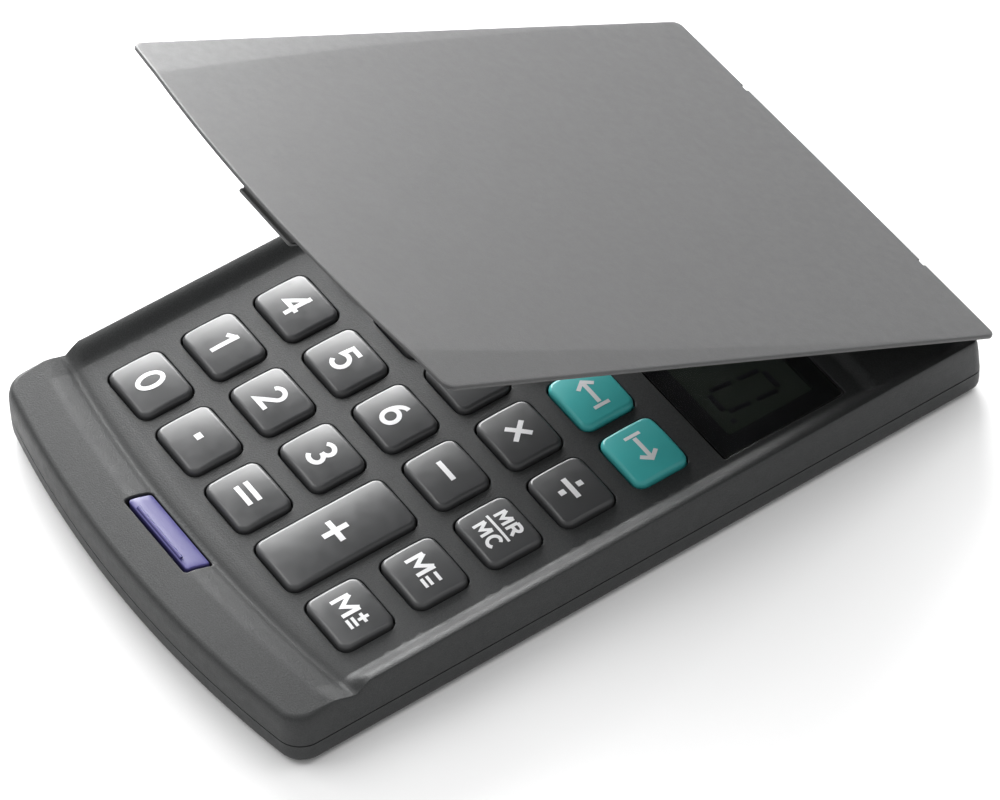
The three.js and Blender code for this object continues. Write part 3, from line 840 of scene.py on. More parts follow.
def top_holes(mesh):
    """All the holes in the top: their loops on the outer face and on the ceiling."""
    holes = []
    for _, *size in key_sizes():
        holes.append(rounded_hole(mesh, lambda extra: key_outline(*size, -KEY_GAP - extra), CEILING_Z))
    holes.append(recess(mesh, WINDOW, DISPLAY_OPENING, WINDOW_FLOOR_Z, CEILING_Z))
    solar_top, solar_bottom = recess(mesh, SOLAR_WINDOW, SOLAR_OPENING, SOLAR_FLOOR_Z, PLATFORM_CEILING_Z)
    button_top, button_bottom = rounded_hole(mesh, button_slot_outline, CEILING_Z, BUTTON_ROUND)
    room_outline = panel_outline(PLATFORM_ROOM, 0.5)
    room_low, room_high = (mesh.loop(room_outline, z) for z in (CEILING_Z, PLATFORM_CEILING_Z))
    mesh.bridge(room_low, room_high)
    mesh.fill(room_high, [solar_bottom])
    tops, ceilings = zip(*holes)
    return [*tops, solar_top, button_top], [*ceilings, button_bottom, room_low]


def bosses():
    """Screw bosses, hinge blocks and rocker cheeks under the ceiling."""
    added = Mesh()
    for x, y in screw_places():
        add_prism(added, circle(x, y, SCREW_BOSS), FLOOR_Z + OVERLAP, CEILING_Z + OVERLAP)
    cheek = (BUTTON_SLOT[0] + BUTTON_MIDDLE_X, ROCKER_CHEEK_X)
    cheeks = ((-ROCKER_CHEEK_X, BUTTON_MIDDLE_X - BUTTON_SLOT[0]), cheek)
    front, back = ROCKER_Y - ROCKER_CHEEK, ROCKER_Y + ROCKER_CHEEK
    for block, cheek in zip(mirrored(SLOT_NEAR - 1.5, SLOT_FAR + 1.5), cheeks):
        add_box(added, *block, SLOT_FRONT_Y - 1.2, BACK_Y - WALL / 2, SEAM_Z, PLATFORM_CEILING_Z + OVERLAP)
        add_box(added, *cheek, front, back, ROCKER_Z - ROCKER_CHEEK, CEILING_Z + OVERLAP)
    return added


def case_cuts():
    """Slots for the cover's lugs, screw bores and the rocker's bore."""
    cuts = Mesh()
    for slot in mirrored(SLOT_NEAR, SLOT_FAR):
        add_box(cuts, *slot, SLOT_FRONT_Y, BACK_Y + 1, SEAM_Z - 1, DECK_Z + 3)
    for x, y in screw_places():
        add_prism(cuts, circle(x, y, SCREW_BORE, 16), 0, CEILING_Z + 0.6)
    add_rod(cuts, ROCKER_BORE, ROCKER_BORE_REACH, (0, ROCKER_Y, ROCKER_Z))
    return cuts


def hinge_bores(near, far, radius, reach):
    """Bores for the hinge pins, about the middle of the spans from near to far."""
    bores = Mesh()
    for side in (-1, 1):
        add_rod(bores, radius, reach, (side * (near + far) / 2, HINGE_Y, HINGE_Z))
    return bores


def upper_case():
    mesh = Mesh()
    seam, ridge, inner = outer_wall(mesh)
    tops, ceilings = top_holes(mesh)
    wall_top = mesh.loop(inner, CEILING_Z)
    mesh.bridge(seam, wall_top)
    mesh.fill(wall_top, ceilings)
    mesh.fill(ridge, tops, top_points(), top_height, clear=0.22)
    piece = mesh.object("upper_case_moulding", CASE_PLASTIC)
    combine(piece, bosses(), "UNION")
    combine(piece, case_cuts(), "DIFFERENCE")
    bore_reach = (SLOT_FAR - SLOT_NEAR) / 2 + CASE_BORE_DEPTH
    combine(piece, hinge_bores(SLOT_NEAR, SLOT_FAR, CASE_BORE, bore_reach), "DIFFERENCE")
    weigh_normals(piece)
    lay_normals(piece, top_height)
    stand_in(piece, "upper_case")


def read_from(collection, name, size, kind=float):
    """One property of every item of a mesh, as an array."""
    values = np.empty(size * len(collection), kind)
    collection.foreach_get(name, values)
    return values


def lay_normals(piece, height, reach=0.02):
    """Shades the faces that lie on a height function with the function's exact slope."""
    data = piece.data
    x, y, z = read_from(data.vertices, "co", 3).reshape(-1, 3).T / MM
    corner = read_from(data.loops, "vertex_index", 1, int)
    normals = read_from(data.corner_normals, "vector", 3).reshape(-1, 3)
    starts = read_from(data.polygons, "loop_start", 1, int)
    sizes = read_from(data.polygons, "loop_total", 1, int)
    laid = np.abs(z - height(x, y)) < 0.003
    laid = np.repeat(np.logical_and.reduceat(laid[corner], starts), sizes)
    slope_x = (height(x + reach, y) - height(x - reach, y)) / (2 * reach)
    slope_y = (height(x, y + reach) - height(x, y - reach)) / (2 * reach)
    exact = np.column_stack((-slope_x, -slope_y, np.ones(len(x))))
    exact /= np.linalg.norm(exact, axis=1)[:, None]
    normals[laid] = exact[corner[laid]]
    data.normals_split_custom_set(normals)


def screw_places():
    return [middle_mm(node) for node in nodes_named("case_screw")]


upper_case()


# ---- lower case ----


def round_recesses(mesh):
    """Stepped holes for the screws and flat recesses for the feet."""
    low_holes, high_holes = [], []
    for x, y in screw_places():
        loops = mesh.rings(x, y, SCREW_HOLE, 24)
        low_holes.append(loops[0])
        high_holes.append(loops[-1])
    for node in nodes_named("foot_"):
        loops = mesh.rings(*middle_mm(node), FOOT_RECESS, 40)
        low_holes.append(loops[0])
        mesh.cap(loops[-1])
    return low_holes, high_holes


def lower_case():
    mesh = Mesh()
    outline = case_outline()
    normals = inward(outline)
    outer = mesh.chain([mesh.loop(outline + normals * inset, z) for inset, z in BOTTOM_PROFILE])
    inner = outline + normals * WALL
    inner_top, inner_low = (mesh.loop(inner, z) for z in (LOWER_TOP_Z, FLOOR_Z))
    mesh.chain([outer[0], inner_top, inner_low])
    low_holes, high_holes = round_recesses(mesh)
    steps = ((0.12, CASE_BOTTOM_Z), (0, CASE_BOTTOM_Z + 0.1), (0, CASE_BOTTOM_Z + 0.3))
    loops = mesh.chain([mesh.loop(panel_outline(PLATE_RECESS, 0.8, extra), z) for extra, z in steps])
    mesh.cap(loops[-1])
    spread = grid(-HALF_WIDTH, HALF_WIDTH, FRONT_Y, BACK_Y, 3, 3)
    mesh.fill(outer[-1], [*low_holes, loops[0]], spread, CASE_BOTTOM_Z)
    mesh.fill(inner_low, high_holes, spread, FLOOR_Z)
    piece = mesh.object("lower_case_moulding", CASE_PLASTIC)

    ribs = Mesh()
    for y in RIB_Y:
        add_box(ribs, -25, 25, y - 0.5, y + 0.5, FLOOR_Z - 0.2, 2.1)
    add_prism(ribs, circle(*SPRING_POST), FLOOR_Z - 0.2, FLOOR_Z + 1.2)
    combine(piece, ribs, "UNION")
    slots = Mesh()
    for slot in mirrored(SLOT_NEAR, SLOT_FAR):
        add_box(slots, *slot, SLOT_FRONT_Y, BACK_Y + 1, SLOT_BOTTOM_Z, SEAM_Z + 1)
    combine(piece, slots, "DIFFERENCE")
    weigh_normals(piece)
    stand_in(piece, "lower_case")


lower_case()


def feet():
    for node in nodes_named("foot_"):
        mesh = Mesh()
        add_lathe(mesh, FOOT_PROFILE, "z", (*middle_mm(node), 0), 48)
        stand_in(mesh.object(node + "_pad", BLACK_RUBBER), node)


feet()


def screws():
    """Recessed pan-head screws with a cross slot and ridged shanks."""
    head_z = CASE_BOTTOM_Z + 0.05
    profile = [(0, head_z), (1.0, head_z), (1.25, head_z + 0.1), (1.4, head_z + 0.35), (1.4, 1.1), (0.5, 1.1)]
    for start in (1.3 + 0.4 * i for i in range(9)):
        profile += [(0.46, start), (0.6, start + 0.15), (0.6, start + 0.2), (0.46, start + 0.35)]
    profile += [(0.2, 5.0), (0, 5.0)]
    for node in nodes_named("case_screw"):
        x, y = middle_mm(node)
        mesh = Mesh()
        add_lathe(mesh, profile, "z", (x, y, 0), 32)
        piece = mesh.object(node + "_turned", STEEL)
        for half_x, half_y in ((0.85, 0.17), (0.17, 0.85)):
            cross = Mesh()
            add_box(cross, x - half_x, x + half_x, y - half_y, y + half_y, 0, head_z + 0.35)
            combine(piece, cross, "DIFFERENCE")
        stand_in(piece, node)


screws()


def rating_plate():
    mesh = panel_slab(PLATE, 0.8, CASE_BOTTOM_Z + 0.02, CASE_BOTTOM_Z + 0.27, 0.05)
    stand_in(mesh.object("rating_plate_foil", FOIL), "rating_plate")


rating_plate()


# ---- keys and their legends ----


def key_stubs(y, depth):
    """Where a key's plungers are, along y."""
    return [y] if depth < TALL_KEY_DEPTH else [y - TALL_KEY_STUB_Y, y + TALL_KEY_STUB_Y]


def key_height(u, v, half_width, half_depth, top_z):
    """Height of a key's crowned top at an offset from its centre."""
    power = 2 if half_depth < half_width else 6
    return top_z - KEY_CROWN * (u / half_width) ** 2 - KEY_DIP * (np.abs(v) / half_depth) ** power


def key_cap(node, x, y, width, depth, top_at):
    bottom_z = box_mm(node)[0][2]
    mesh = Mesh()
    rim = 2 * KEY_FLANGE_RIM
    flange_outline = rounded_rect(x, y, width + rim, depth + rim, 0.6, along=key_parts(depth))
    loops = [mesh.loop(flange_outline, z) for z in (bottom_z + 0.3, KEY_FLANGE_TOP_Z)]
    loops.append(mesh.loop(key_outline(x, y, width, depth), KEY_FLANGE_TOP_Z))
    for angle in np.linspace(0, math.pi / 2, 8):
        outline = key_outline(x, y, width, depth, KEY_ROUND * (1 - math.cos(angle)))
        loops.append(mesh.loop(outline, top_at(*outline.T) - KEY_DROP * (1 - math.sin(angle))))
    mesh.chain(loops)
    mesh.cap(loops[0])
    spread = grid(x - width / 2, x + width / 2, y - depth / 2, y + depth / 2, 0.8, 0.8)
    mesh.fill(loops[-1], inner=spread, height=top_at, clear=0.35)
    piece = mesh.object(node + "_cap", KEY_TEAL if "convert" in node else KEY_GREY, 50)
    stubs = Mesh()
    for stub_y in key_stubs(y, depth):
        add_prism(stubs, circle(x, stub_y, 1.5, 24), bottom_z, bottom_z + 0.5)
    combine(piece, stubs, "UNION", 50)
    lay_normals(piece, top_at)
    stand_in(piece, node)


def stroke(points, width):
    """Mitred four-sided pieces that cover a line of even width."""
    points = np.array(points, float)
    closed = np.allclose(points[0], points[-1])
    ends = points[:-1] if closed else points
    steps = np.diff(points, axis=0)
    steps /= np.linalg.norm(steps, axis=1)[:, None]
    normals = np.column_stack((-steps[:, 1], steps[:, 0]))
    if closed:
        before, after = np.roll(normals, 1, axis=0), normals
    else:
        before = np.vstack((normals[:1], normals))
        after = np.vstack((normals, normals[-1:]))
    mitre = before + after
    mitre /= np.maximum((mitre * after).sum(axis=1), 0.3)[:, None]
    left, right = ends + mitre * width / 2, ends - mitre * width / 2
    starts = range(len(ends) if closed else len(ends) - 1)
    nexts = [(i + 1) % len(ends) for i in starts]
    return [np.array((left[i], right[i], right[j], left[j])) for i, j in zip(starts, nexts)]


def bar(x0, y0, x1, y1, width, parts=5):
    return stroke(np.linspace((x0, y0), (x1, y1), parts), width)


def level(x, y, half, width):
    return bar(x - half, y, x + half, y, width)


def curve(x, y, rx, ry, start, end, parts=20):
    angles = np.radians(np.linspace(start, end, parts))
    return [(x + rx * math.cos(a), y + ry * math.sin(a)) for a in angles]


def corners(*points, step=0.7):
    """A line through the points with its straight runs split up."""
    line = [np.array(points[0], float)]
    for point in points[1:]:
        start = line[-1]
        count = math.ceil(np.linalg.norm(np.array(point) - start) / step)
        line += [start + (np.array(point) - start) * k / count for k in range(1, count + 1)]
    return line


def letter_m(x, y, half_width, half_height, width):
    top, bottom = y + half_height, y - half_height
    left, right = x - half_width, x + half_width
    lines = (
        corners((left, bottom), (left, top)),
        corners((right, bottom), (right, top)),
        corners((left + 0.1, top), (x, y - 0.35 * half_height), (right - 0.1, top)),
    )
    return [quad for line in lines for quad in stroke(line, width)]


def letter_r(x, y, half_width, half_height, width):
    top, bottom = y + half_height, y - half_height
    left, bowl = x - half_width, half_height / 2
    lines = (
        corners((left, bottom), (left, top)),
        [(left, top), *curve(x, y + bowl, half_width, bowl, 90, -90, 10), (left, y)],
        corners((x, y), (x + half_width, bottom)),
    )
    return [quad for line in lines for quad in stroke(line, width)]


def letter_c(x, y, half_width, half_height, width):
    return stroke(curve(x, y, half_width, half_height, 45, 315), width)


def equals(x, y, half_width, half_gap, width):
    return level(x, y + half_gap, half_width, width) + level(x, y - half_gap, half_width, width)


def plus(x, y, reach, width):
    return level(x, y, reach, width) + bar(x, y - reach, x, y + reach, width)


def dot(x, y, size):
    return bar(x - size / 2, y, x + size / 2, y, size, 2)


def arrow(direction):
    """A plain arrow between two short bars, for a conversion key."""
    tip = 1.9 * direction
    back = 0.95 * direction
    return (
        bar(-tip, 0, tip * 0.8, 0, 0.55)
        + stroke(corners((back, 1.15), (tip, 0), (back, -1.15)), 0.55)
        + bar(-tip * 1.25, -1.1, -tip * 1.25, 1.1, 0.5)
    )


def digit_strokes(width=0.62):
    six = curve(0, -0.62, 1.04, 1.07, 0, 360, 28)
    tail = curve(0.62, -0.62, 1.66, 2.31, 95, 180, 12)
    turned = [[(-px, -py) for px, py in line] for line in (six, tail)]
    two_foot = corners((0.75, 0.1), (-0.98, -1.69), (1.1, -1.69))
    five_flag = corners((0.95, 1.69), (-0.72, 1.69), (-0.82, 0.25))
    lines = (
        [curve(0, 0, 1.04, 1.69, 0, 360, 32)],
        [corners((-0.75, 0.95), (0.3, 1.69)), corners((0.3, 2.0), (0.3, -2.0))],
        [curve(0, 0.72, 0.98, 0.97, 165, -35, 16) + two_foot[1:]],
        [curve(-0.05, 0.85, 0.93, 0.84, 150, -90, 16), curve(-0.05, -0.84, 1.05, 0.85, 90, -150, 16)],
        [corners((0.45, 2.0), (0.45, -2.0)), corners((0.6, 1.75), (-1.15, -0.7), (1.2, -0.7))],
        [five_flag + curve(-0.02, -0.6, 1.06, 1.09, 128, -148, 18)[1:]],
        [six, tail],
        [corners((-1.1, 1.69), (1.0, 1.69), (-0.4, -2.0))],
        [curve(0, 0.86, 0.86, 0.83, 0, 360, 24), curve(0, -0.82, 1.04, 0.87, 0, 360, 26)],
        turned,
    )
    return [[quad for line in group for quad in stroke(line, width)] for group in lines]


def legends():
    """The legend of each key, as four-sided pieces about the key's centre."""
    found = {f"key_{digit}": quads for digit, quads in enumerate(digit_strokes())}
    bold = 0.66
    found["key_point"] = dot(0, 0, 0.95)
    found["key_equals"] = equals(0, 0, 1.7, 0.66, bold)
    found["key_plus"] = plus(0, 0, 1.75, 0.75)
    found["key_minus"] = level(0, 0, 1.7, bold)
    found["key_multiply"] = bar(-1.2, -1.2, 1.2, 1.2, bold) + bar(-1.2, 1.2, 1.2, -1.2, bold)
    found["key_divide"] = level(0, 0, 1.7, bold) + dot(0, 1.25, 0.8) + dot(0, -1.25, 0.8)
    memory = letter_m(-0.85, 0, 1.25, 1.25, 0.56)
    memory_equals = equals(1.8, -0.78, 0.72, 0.36, 0.4)
    found["key_memory_plus"] = memory + plus(1.85, 0.75, 0.72, 0.42) + memory_equals
    found["key_memory_minus"] = memory + bar(1.1, 0.75, 2.5, 0.75, 0.42) + memory_equals
    found["key_memory_recall"] = (
        letter_m(-0.95, 1.5, 0.85, 0.85, 0.44)
        + letter_r(1.3, 1.5, 0.62, 0.85, 0.44)
        + level(0, 0, 2.4, 0.34)
        + letter_m(-0.95, -1.5, 0.85, 0.85, 0.44)
        + letter_c(1.4, -1.5, 0.75, 0.85, 0.44)
    )
    found["key_clear"] = letter_c(0, 0, 1.25, 1.6, 0.62)
    root = corners((-1.7, -0.1), (-1.1, 0.25), (-0.4, -1.6), (0.4, 1.6), (1.9, 1.6))
    found["key_root"] = stroke(root, 0.55)
    found["key_percent"] = (
        stroke(curve(-1.0, 0.95, 0.55, 0.6, 0, 360, 16), 0.45)
        + stroke(curve(1.0, -0.95, 0.55, 0.6, 0, 360, 16), 0.45)
        + bar(-0.9, -1.7, 0.9, 1.7, 0.45)
    )
    found["key_convert_home"] = arrow(-1)
    found["key_convert_away"] = arrow(1)
    return found


def union_triangles(points):
    """Triangles over the union of four-sided pieces, four points each: their corners and indexes."""
    starts = range(0, len(points), 4)
    edges = [(start + i, start + (i + 1) % 4) for start in starts for i in range(4)]
    found = delaunay_2d_cdt([Vector(p) for p in points], edges, [], 0, 1e-5)
    spots = np.array([tuple(v) for v in found[0]])
    triangles = np.array(found[2])
    centres = spots[triangles].mean(axis=1)
    covered = np.any([inside(centres, points[start : start + 4]) for start in starts], axis=0)
    used, numbers = np.unique(triangles[covered], return_inverse=True)
    return spots[used], [tuple(t) for t in numbers.reshape(-1, 3).tolist()]


def flat_solid(name, quads, place, height_at, thickness, material, body):
    """A thin solid over the union of some four-sided pieces, laid on a surface."""
    spots, triangles = union_triangles(np.vstack(quads) + np.array(place))
    heights = height_at(*spots.T)
    mesh = Mesh()
    mesh.loop(spots, heights + thickness)
    mesh.loop(spots, heights - thickness)
    count = len(spots)
    sides = dict.fromkeys(side for t in triangles for side in zip(t, t[1:] + t[:1]))
    mesh.faces = triangles + [tuple(count + i for i in reversed(t)) for t in triangles]
    mesh.faces += [(b, a, count + a, count + b) for a, b in sides if (b, a) not in sides]
    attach(mesh.object(name, material), body)


def keys():
    found = legends()
    for node, x, y, width, depth in key_sizes():
        top_z = box_mm(node)[1][2]

        def top_at(px, py):
            return key_height(px - x, py - y, width / 2, depth / 2, top_z)

        key_cap(node, x, y, width, depth, top_at)
        legend = (found[node], (x, y), top_at, LEGEND_HALF_THICK, LEGEND_WHITE, BODY_OF[node])
        flat_solid(node + "_legend", *legend)


keys()


# ---- release rocker ----


def button_top(x, y):
    return top_height(x, y) + 0.06 - 0.05 * ((x - BUTTON_MIDDLE_X) / BUTTON_X) ** 2


def button_outline(inset):
    middle = (BUTTON_FRONT_Y + BUTTON_BACK_Y) / 2
    size = (2 * (BUTTON_X - inset), BUTTON_BACK_Y - BUTTON_FRONT_Y - 2 * inset)
    return rounded_rect(BUTTON_MIDDLE_X, middle, *size, max(0.45 - inset, 0.15), along=(20, 8))


def release_button():
    mesh = Mesh()
    rings = [mesh.loop(button_outline(inset), BUTTON_BOTTOM_Z + 0.1 - inset) for inset in (0.1, 0)]
    for angle in np.linspace(0, math.pi / 2, 6):
        ring = button_outline(BUTTON_ROUND * (1 - math.cos(angle)))
        rings.append(mesh.loop(ring, button_top(*ring.T) - BUTTON_ROUND * (1 - math.sin(angle))))
    mesh.chain(rings)
    mesh.cap(rings[0])
    spread = grid(-7.2, 5.6, BUTTON_FRONT_Y, BUTTON_BACK_Y, 0.8, 0.4)
    mesh.fill(rings[-1], inner=spread, height=button_top, clear=0.2)
    piece = mesh.object("cover_release_rocker", RELEASE_VIOLET, 50)
    rib = Mesh()
    rib_y = BUTTON_FRONT_Y + 0.45
    rib_z = button_top(BUTTON_MIDDLE_X, rib_y) + 0.06
    add_tube(rib, [(x, rib_y, rib_z) for x in np.linspace(-5.7, 3.9, 12)], 0.25, 16)
    combine(piece, rib, "UNION", 50)
    pivots = Mesh()
    profile = ((0, -8.6), (0.45, -8.6), (0.6, -8.45), (0.6, 8.45), (0.45, 8.6), (0, 8.6))
    add_lathe(pivots, profile, "x", (0, ROCKER_Y, ROCKER_Z))
    combine(piece, pivots, "UNION", 50)
    stand_in(piece, "cover_release_button")


release_button()


def release_spring():
    turns, radius, wire, slack = 5, 1.1, 0.18, 0.3
    low, high = box_mm("release_spring")
    x, y = middle_mm("release_spring")
    steps = 20 * turns
    rise = high[2] - low[2] - 2 * wire - slack
    path = []
    for i in range(steps + 1):
        angle = 2 * math.pi * turns * i / steps
        share = smooth_step(i / steps) * 0.5 + 0.5 * i / steps
        z = low[2] + wire + rise * share
        path.append((x + radius * math.cos(angle), y + radius * math.sin(angle), z))
    mesh = Mesh()
    add_tube(mesh, path, wire, 10)
    stand_in(mesh.object("release_spring_coil", STEEL), "release_spring")


release_spring()


# ---- display and solar cell ----


def window_lens(node, rect):
    low, high = box_mm(node)
    piece = panel_slab(rect, 0.4, low[2], high[2], 0.08, -0.2).object(node + "_lens", CLEAR)
    weigh_normals(piece)
    stand_in(piece, node)


window_lens("display_window", WINDOW)
window_lens("solar_window", SOLAR_WINDOW)


def window_mask(name, rect, opening, z0, z1):
    """The black print under a window's edge, around its clear area."""
    mesh = Mesh()
    outer, inner = panel_outline(rect, 0.4, -0.3), panel_outline(opening, 0.6)
    loops = [mesh.loop(outline, z) for outline, z in ((outer, z0), (outer, z1), (inner, z1), (inner, z0))]
    mesh.chain([*loops, loops[0]])
    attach(mesh.object(name, BLACK_MASK), "case")


window_mask("display_mask", WINDOW, DISPLAY_CLEAR, WINDOW_FLOOR_Z + 0.03, WINDOW_FLOOR_Z + 0.11)
window_mask("solar_mask", SOLAR_WINDOW, SOLAR_CLEAR, SOLAR_FLOOR_Z + 0.02, SOLAR_FLOOR_Z + 0.07)


def glass(node, corner, gap, edge, material):
    """A glass panel that fills a node's box but for a gap above; returns its ink's height function."""
    low, high = box_mm(node)
    mesh = panel_slab(rect_mm(node), corner, low[2], high[2] - gap, edge)
    piece = mesh.object(node + "_glass", material)
    weigh_normals(piece)
    stand_in(piece, node)
    ink_z = high[2] - 0.03
    return lambda x, y: np.full(len(x), ink_z)


def segment_zero():
    """A seven-segment zero and its point, leaning a little."""
    width, tall, thick, gap = 4.0, 7.6, 0.68, 0.13
    half_w, half_h, short = width / 2, tall / 2, thick / 2 + gap
    quads = []
    for x in (-half_w, half_w):
        quads += bar(x, short, x, half_h - short, thick) + bar(x, short - half_h, x, -short, thick)
    for y in (-half_h, half_h):
        quads += bar(short - half_w, y, half_w - short, y, thick)
    quads += dot(half_w + 1.5, 0.05 - half_h, thick)
    lean = np.array(((1, 0), (0.1, 1)))
    return [quad @ lean for quad in quads]


def lcd():
    ink_at = glass("lcd_panel", 0.15, 0.05, 0.06, SHADED_LCD_GLASS)
    middle_y = (DISPLAY_OPENING[1] + DISPLAY_OPENING[2]) / 2 - 0.3
    flat_solid("lcd_digits", segment_zero(), (20.3, middle_y), ink_at, 0.03, SEGMENT_INK, "case")


lcd()


def lcd_supports():
    low, high = box_mm("lcd_frame")
    outer, rim, edge = rect_mm("lcd_frame"), 1.3, 0.15
    inner = panel_outline((outer[0] - rim, outer[1] + rim, outer[2] - rim), 0.3)
    wide, narrow = panel_outline(outer, 0.5), panel_outline(outer, 0.5, -edge)
    steps = (
        (narrow, low[2]), (wide, low[2] + edge), (wide, high[2] - edge), (narrow, high[2]), (inner, high[2]),
        (inner, low[2]),
    )
    mesh = Mesh()
    loops = [mesh.loop(outline, z) for outline, z in steps]
    mesh.chain([*loops, loops[0]])
    stand_in(mesh.object("lcd_frame_moulding", BLACK_PLASTIC), "lcd_frame")
    low, high = box_mm("lcd_connector")
    strip = panel_slab(rect_mm("lcd_connector"), 0.2, low[2], high[2], 0.1)
    stand_in(strip.object("lcd_connector_strip", ZEBRA), "lcd_connector")


lcd_supports()


def solar_cell():
    ink_at = glass("solar_cell", 0.1, 0.04, 0.05, SOLAR_FILM)
    middle = middle_mm("solar_cell")[1]
    quads = [quad for x in SOLAR_STRIP_X for quad in bar(x, middle - 3.3, x, middle + 3.3, 0.16)]
    flat_solid("solar_cell_contacts", quads, (0, 0), ink_at, 0.02, STEEL, "case")


solar_cell()


# ---- inside the case ----


def circuit_board():
    """A flat board with a round bite beside the battery cell."""
    low, high = box_mm("circuit_board")
    cell_low, cell_high = box_mm("battery_cell")
    cell_x, cell_y = middle_mm("battery_cell")
    radius = (cell_high[0] - cell_low[0]) / 2 + 0.3
    bite = arc(cell_x, cell_y, radius, -0.39 * math.pi, -math.pi, 20)
    bite_end = bite[-1][0]
    front = ((low[0], low[1]), (high[0], low[1]), (high[0], bite[0][1]))
    back = ((bite_end, cell_y), (bite_end, high[1]), (low[0], high[1]))
    outline = subdivided(np.vstack((front, bite[:-1], back)), 2.0)
    mesh = Mesh()
    bottom, top = mesh.chain([mesh.loop(outline, low[2]), mesh.loop(outline, high[2])])
    mesh.fill(bottom)
    mesh.fill(top)
    stand_in(mesh.object("circuit_board_sheet", BOARD), "circuit_board")


circuit_board()


def key_mat():
    """One rubber sheet with a soft dome under each key."""
    bottom_z = box_mm("key_mat")[0][2]
    dome = [(radius, bottom_z + rise) for radius, rise in DOME_PROFILE]
    mesh = Mesh()
    rect = rect_mm("key_mat")
    edge = ((0, 0), (0, 0.4), (-0.1, 0.5))
    outer = mesh.chain([mesh.loop(panel_outline(rect, 1.0, extra), bottom_z + rise) for extra, rise in edge])
    holes = []
    for _, x, y, _, depth in key_sizes():
        for dome_y in key_stubs(y, depth):
            loops = mesh.rings(x, dome_y, dome, 28)
            mesh.cap(loops[-1])
            holes.append(loops[0])
    mesh.fill(outer[-1], holes)
    mesh.fill(outer[0])
    stand_in(mesh.object("key_mat_domes", MAT_RUBBER), "key_mat")


key_mat()


def turned_part(node, name, profile, axis, place, material, count=32):
    """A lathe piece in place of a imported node."""
    mesh = Mesh()
    add_lathe(mesh, profile, axis, place, count)
    stand_in(mesh.object(name, material), node)


def battery():
    low, high = box_mm("battery_cell")
    radius = (high[0] - low[0]) / 2
    tall = high[2] - low[2]
    steps = ((1.1, 0), (0.85, 0.06), (0.8, 0.3), (0.55, 0.34), (0.5, 0.3), (0.2, 0.32), (0, 0.55))
    steps += ((0, tall - 0.25), (0.07, tall - 0.07), (0.25, tall))
    profile = ((0, 0), *((radius - inset, z) for inset, z in steps), (0, tall))
    place = (*middle_mm("battery_cell"), low[2])
    turned_part("battery_cell", "battery_cell_can", profile, "z", place, STEEL, 64)


battery()


def battery_contact(node, thick=0.2):
    """A flat strip, with a leg at its front when the node is tall."""
    low, high = box_mm(node)
    outline = rounded_rect(*middle_mm(node), *(high[:2] - low[:2]), 0.4)
    mesh = Mesh()
    mesh.cap(*mesh.chain([mesh.loop(outline, z) for z in (high[2] - thick, high[2])]))
    piece = mesh.object(node + "_strip", STEEL)
    if high[2] - low[2] > 2 * thick:
        leg = Mesh()
        add_box(leg, low[0] + 0.4, high[0] - 0.4, low[1], low[1] + thick, low[2], high[2] - 0.05)
        combine(piece, leg, "UNION")
    stand_in(piece, node)


battery_contact("battery_contact_negative")
battery_contact("battery_contact_positive")


def chip_cap():
    wide, thick = 4.0, 1.2
    blob = [(0, 0), (3.7, 0), (wide, 0.1)]
    blob += [(wide * math.cos(a), 0.12 + 1.08 * math.sin(a)) for a in np.linspace(0.15, 1.4, 8)]
    blob.append((0, thick))
    place = (*middle_mm("chip_cap"), box_mm("chip_cap")[0][2])
    turned_part("chip_cap", "chip_cap_resin", blob, "z", place, BLACK_PLASTIC, 40)


def capacitor():
    low, high = box_mm("capacitor")
    radius, long = (high[2] - low[2]) / 2, high[0] - low[0]
    steps = ((0.2, 0), (0, 0.15), (0, 0.7), (0.15, 0.85), (0.15, 1.0), (0, 1.15))
    steps += ((0, long - 0.2), (0.2, long))
    can = ((0, 0), *((radius - inset, along) for inset, along in steps), (0, long))
    place = (low[0], *((low[1:] + high[1:]) / 2))
    turned_part("capacitor", "capacitor_can", can, "x", place, BLACK_PLASTIC)


def solar_wire(node, material, radius=0.35):
    low, high = box_mm(node)
    x = high[0] - radius
    knots = (
        (x, high[1] - 0.05, high[2] - radius - 0.02),
        (x, 42, high[2] - radius - 0.35),
        (x - 1, 39, low[2] + radius + 0.5),
        (x - 1, 35.5, low[2] + radius),
    )
    mesh = Mesh()
    add_tube(mesh, smooth_path(knots), radius, 12)
    stand_in(mesh.object(node + "_lead", material), node)


def hinge_pin(node, bevel=0.08):
    low, high = box_mm(node)
    long, tip = high[0] - low[0], PIN_RADIUS - bevel
    profile = ((0, 0), (tip, 0), (PIN_RADIUS, bevel), (PIN_RADIUS, long - bevel), (tip, long), (0, long))
    turned_part(node, node + "_rod", profile, "x", (low[0], HINGE_Y, HINGE_Z), STEEL)


chip_cap()
capacitor()
solar_wire("solar_wire_red", WIRE_RED)
solar_wire("solar_wire_black", BLACK_PLASTIC)
hinge_pin("hinge_pin_left")
hinge_pin("hinge_pin_right")


# ---- cover ----


def crease(y):
    """Half width of the cover's flat middle."""
    return CREASE_X - CREASE_DRIFT * (np.maximum(COVER_BACK_Y - y, 0) / CREASE_RUN) ** CREASE_POWER


def cover_top(x, y):
    """Height of the shut cover's outer face: a slight crown, and a falling facet along each side."""
    past = np.maximum(np.abs(x) - crease(y), 0)
    return COVER_TOP_Z - COVER_CROWN * (x / COVER_HALF_WIDTH) ** 2 - FACET_SLOPE * past


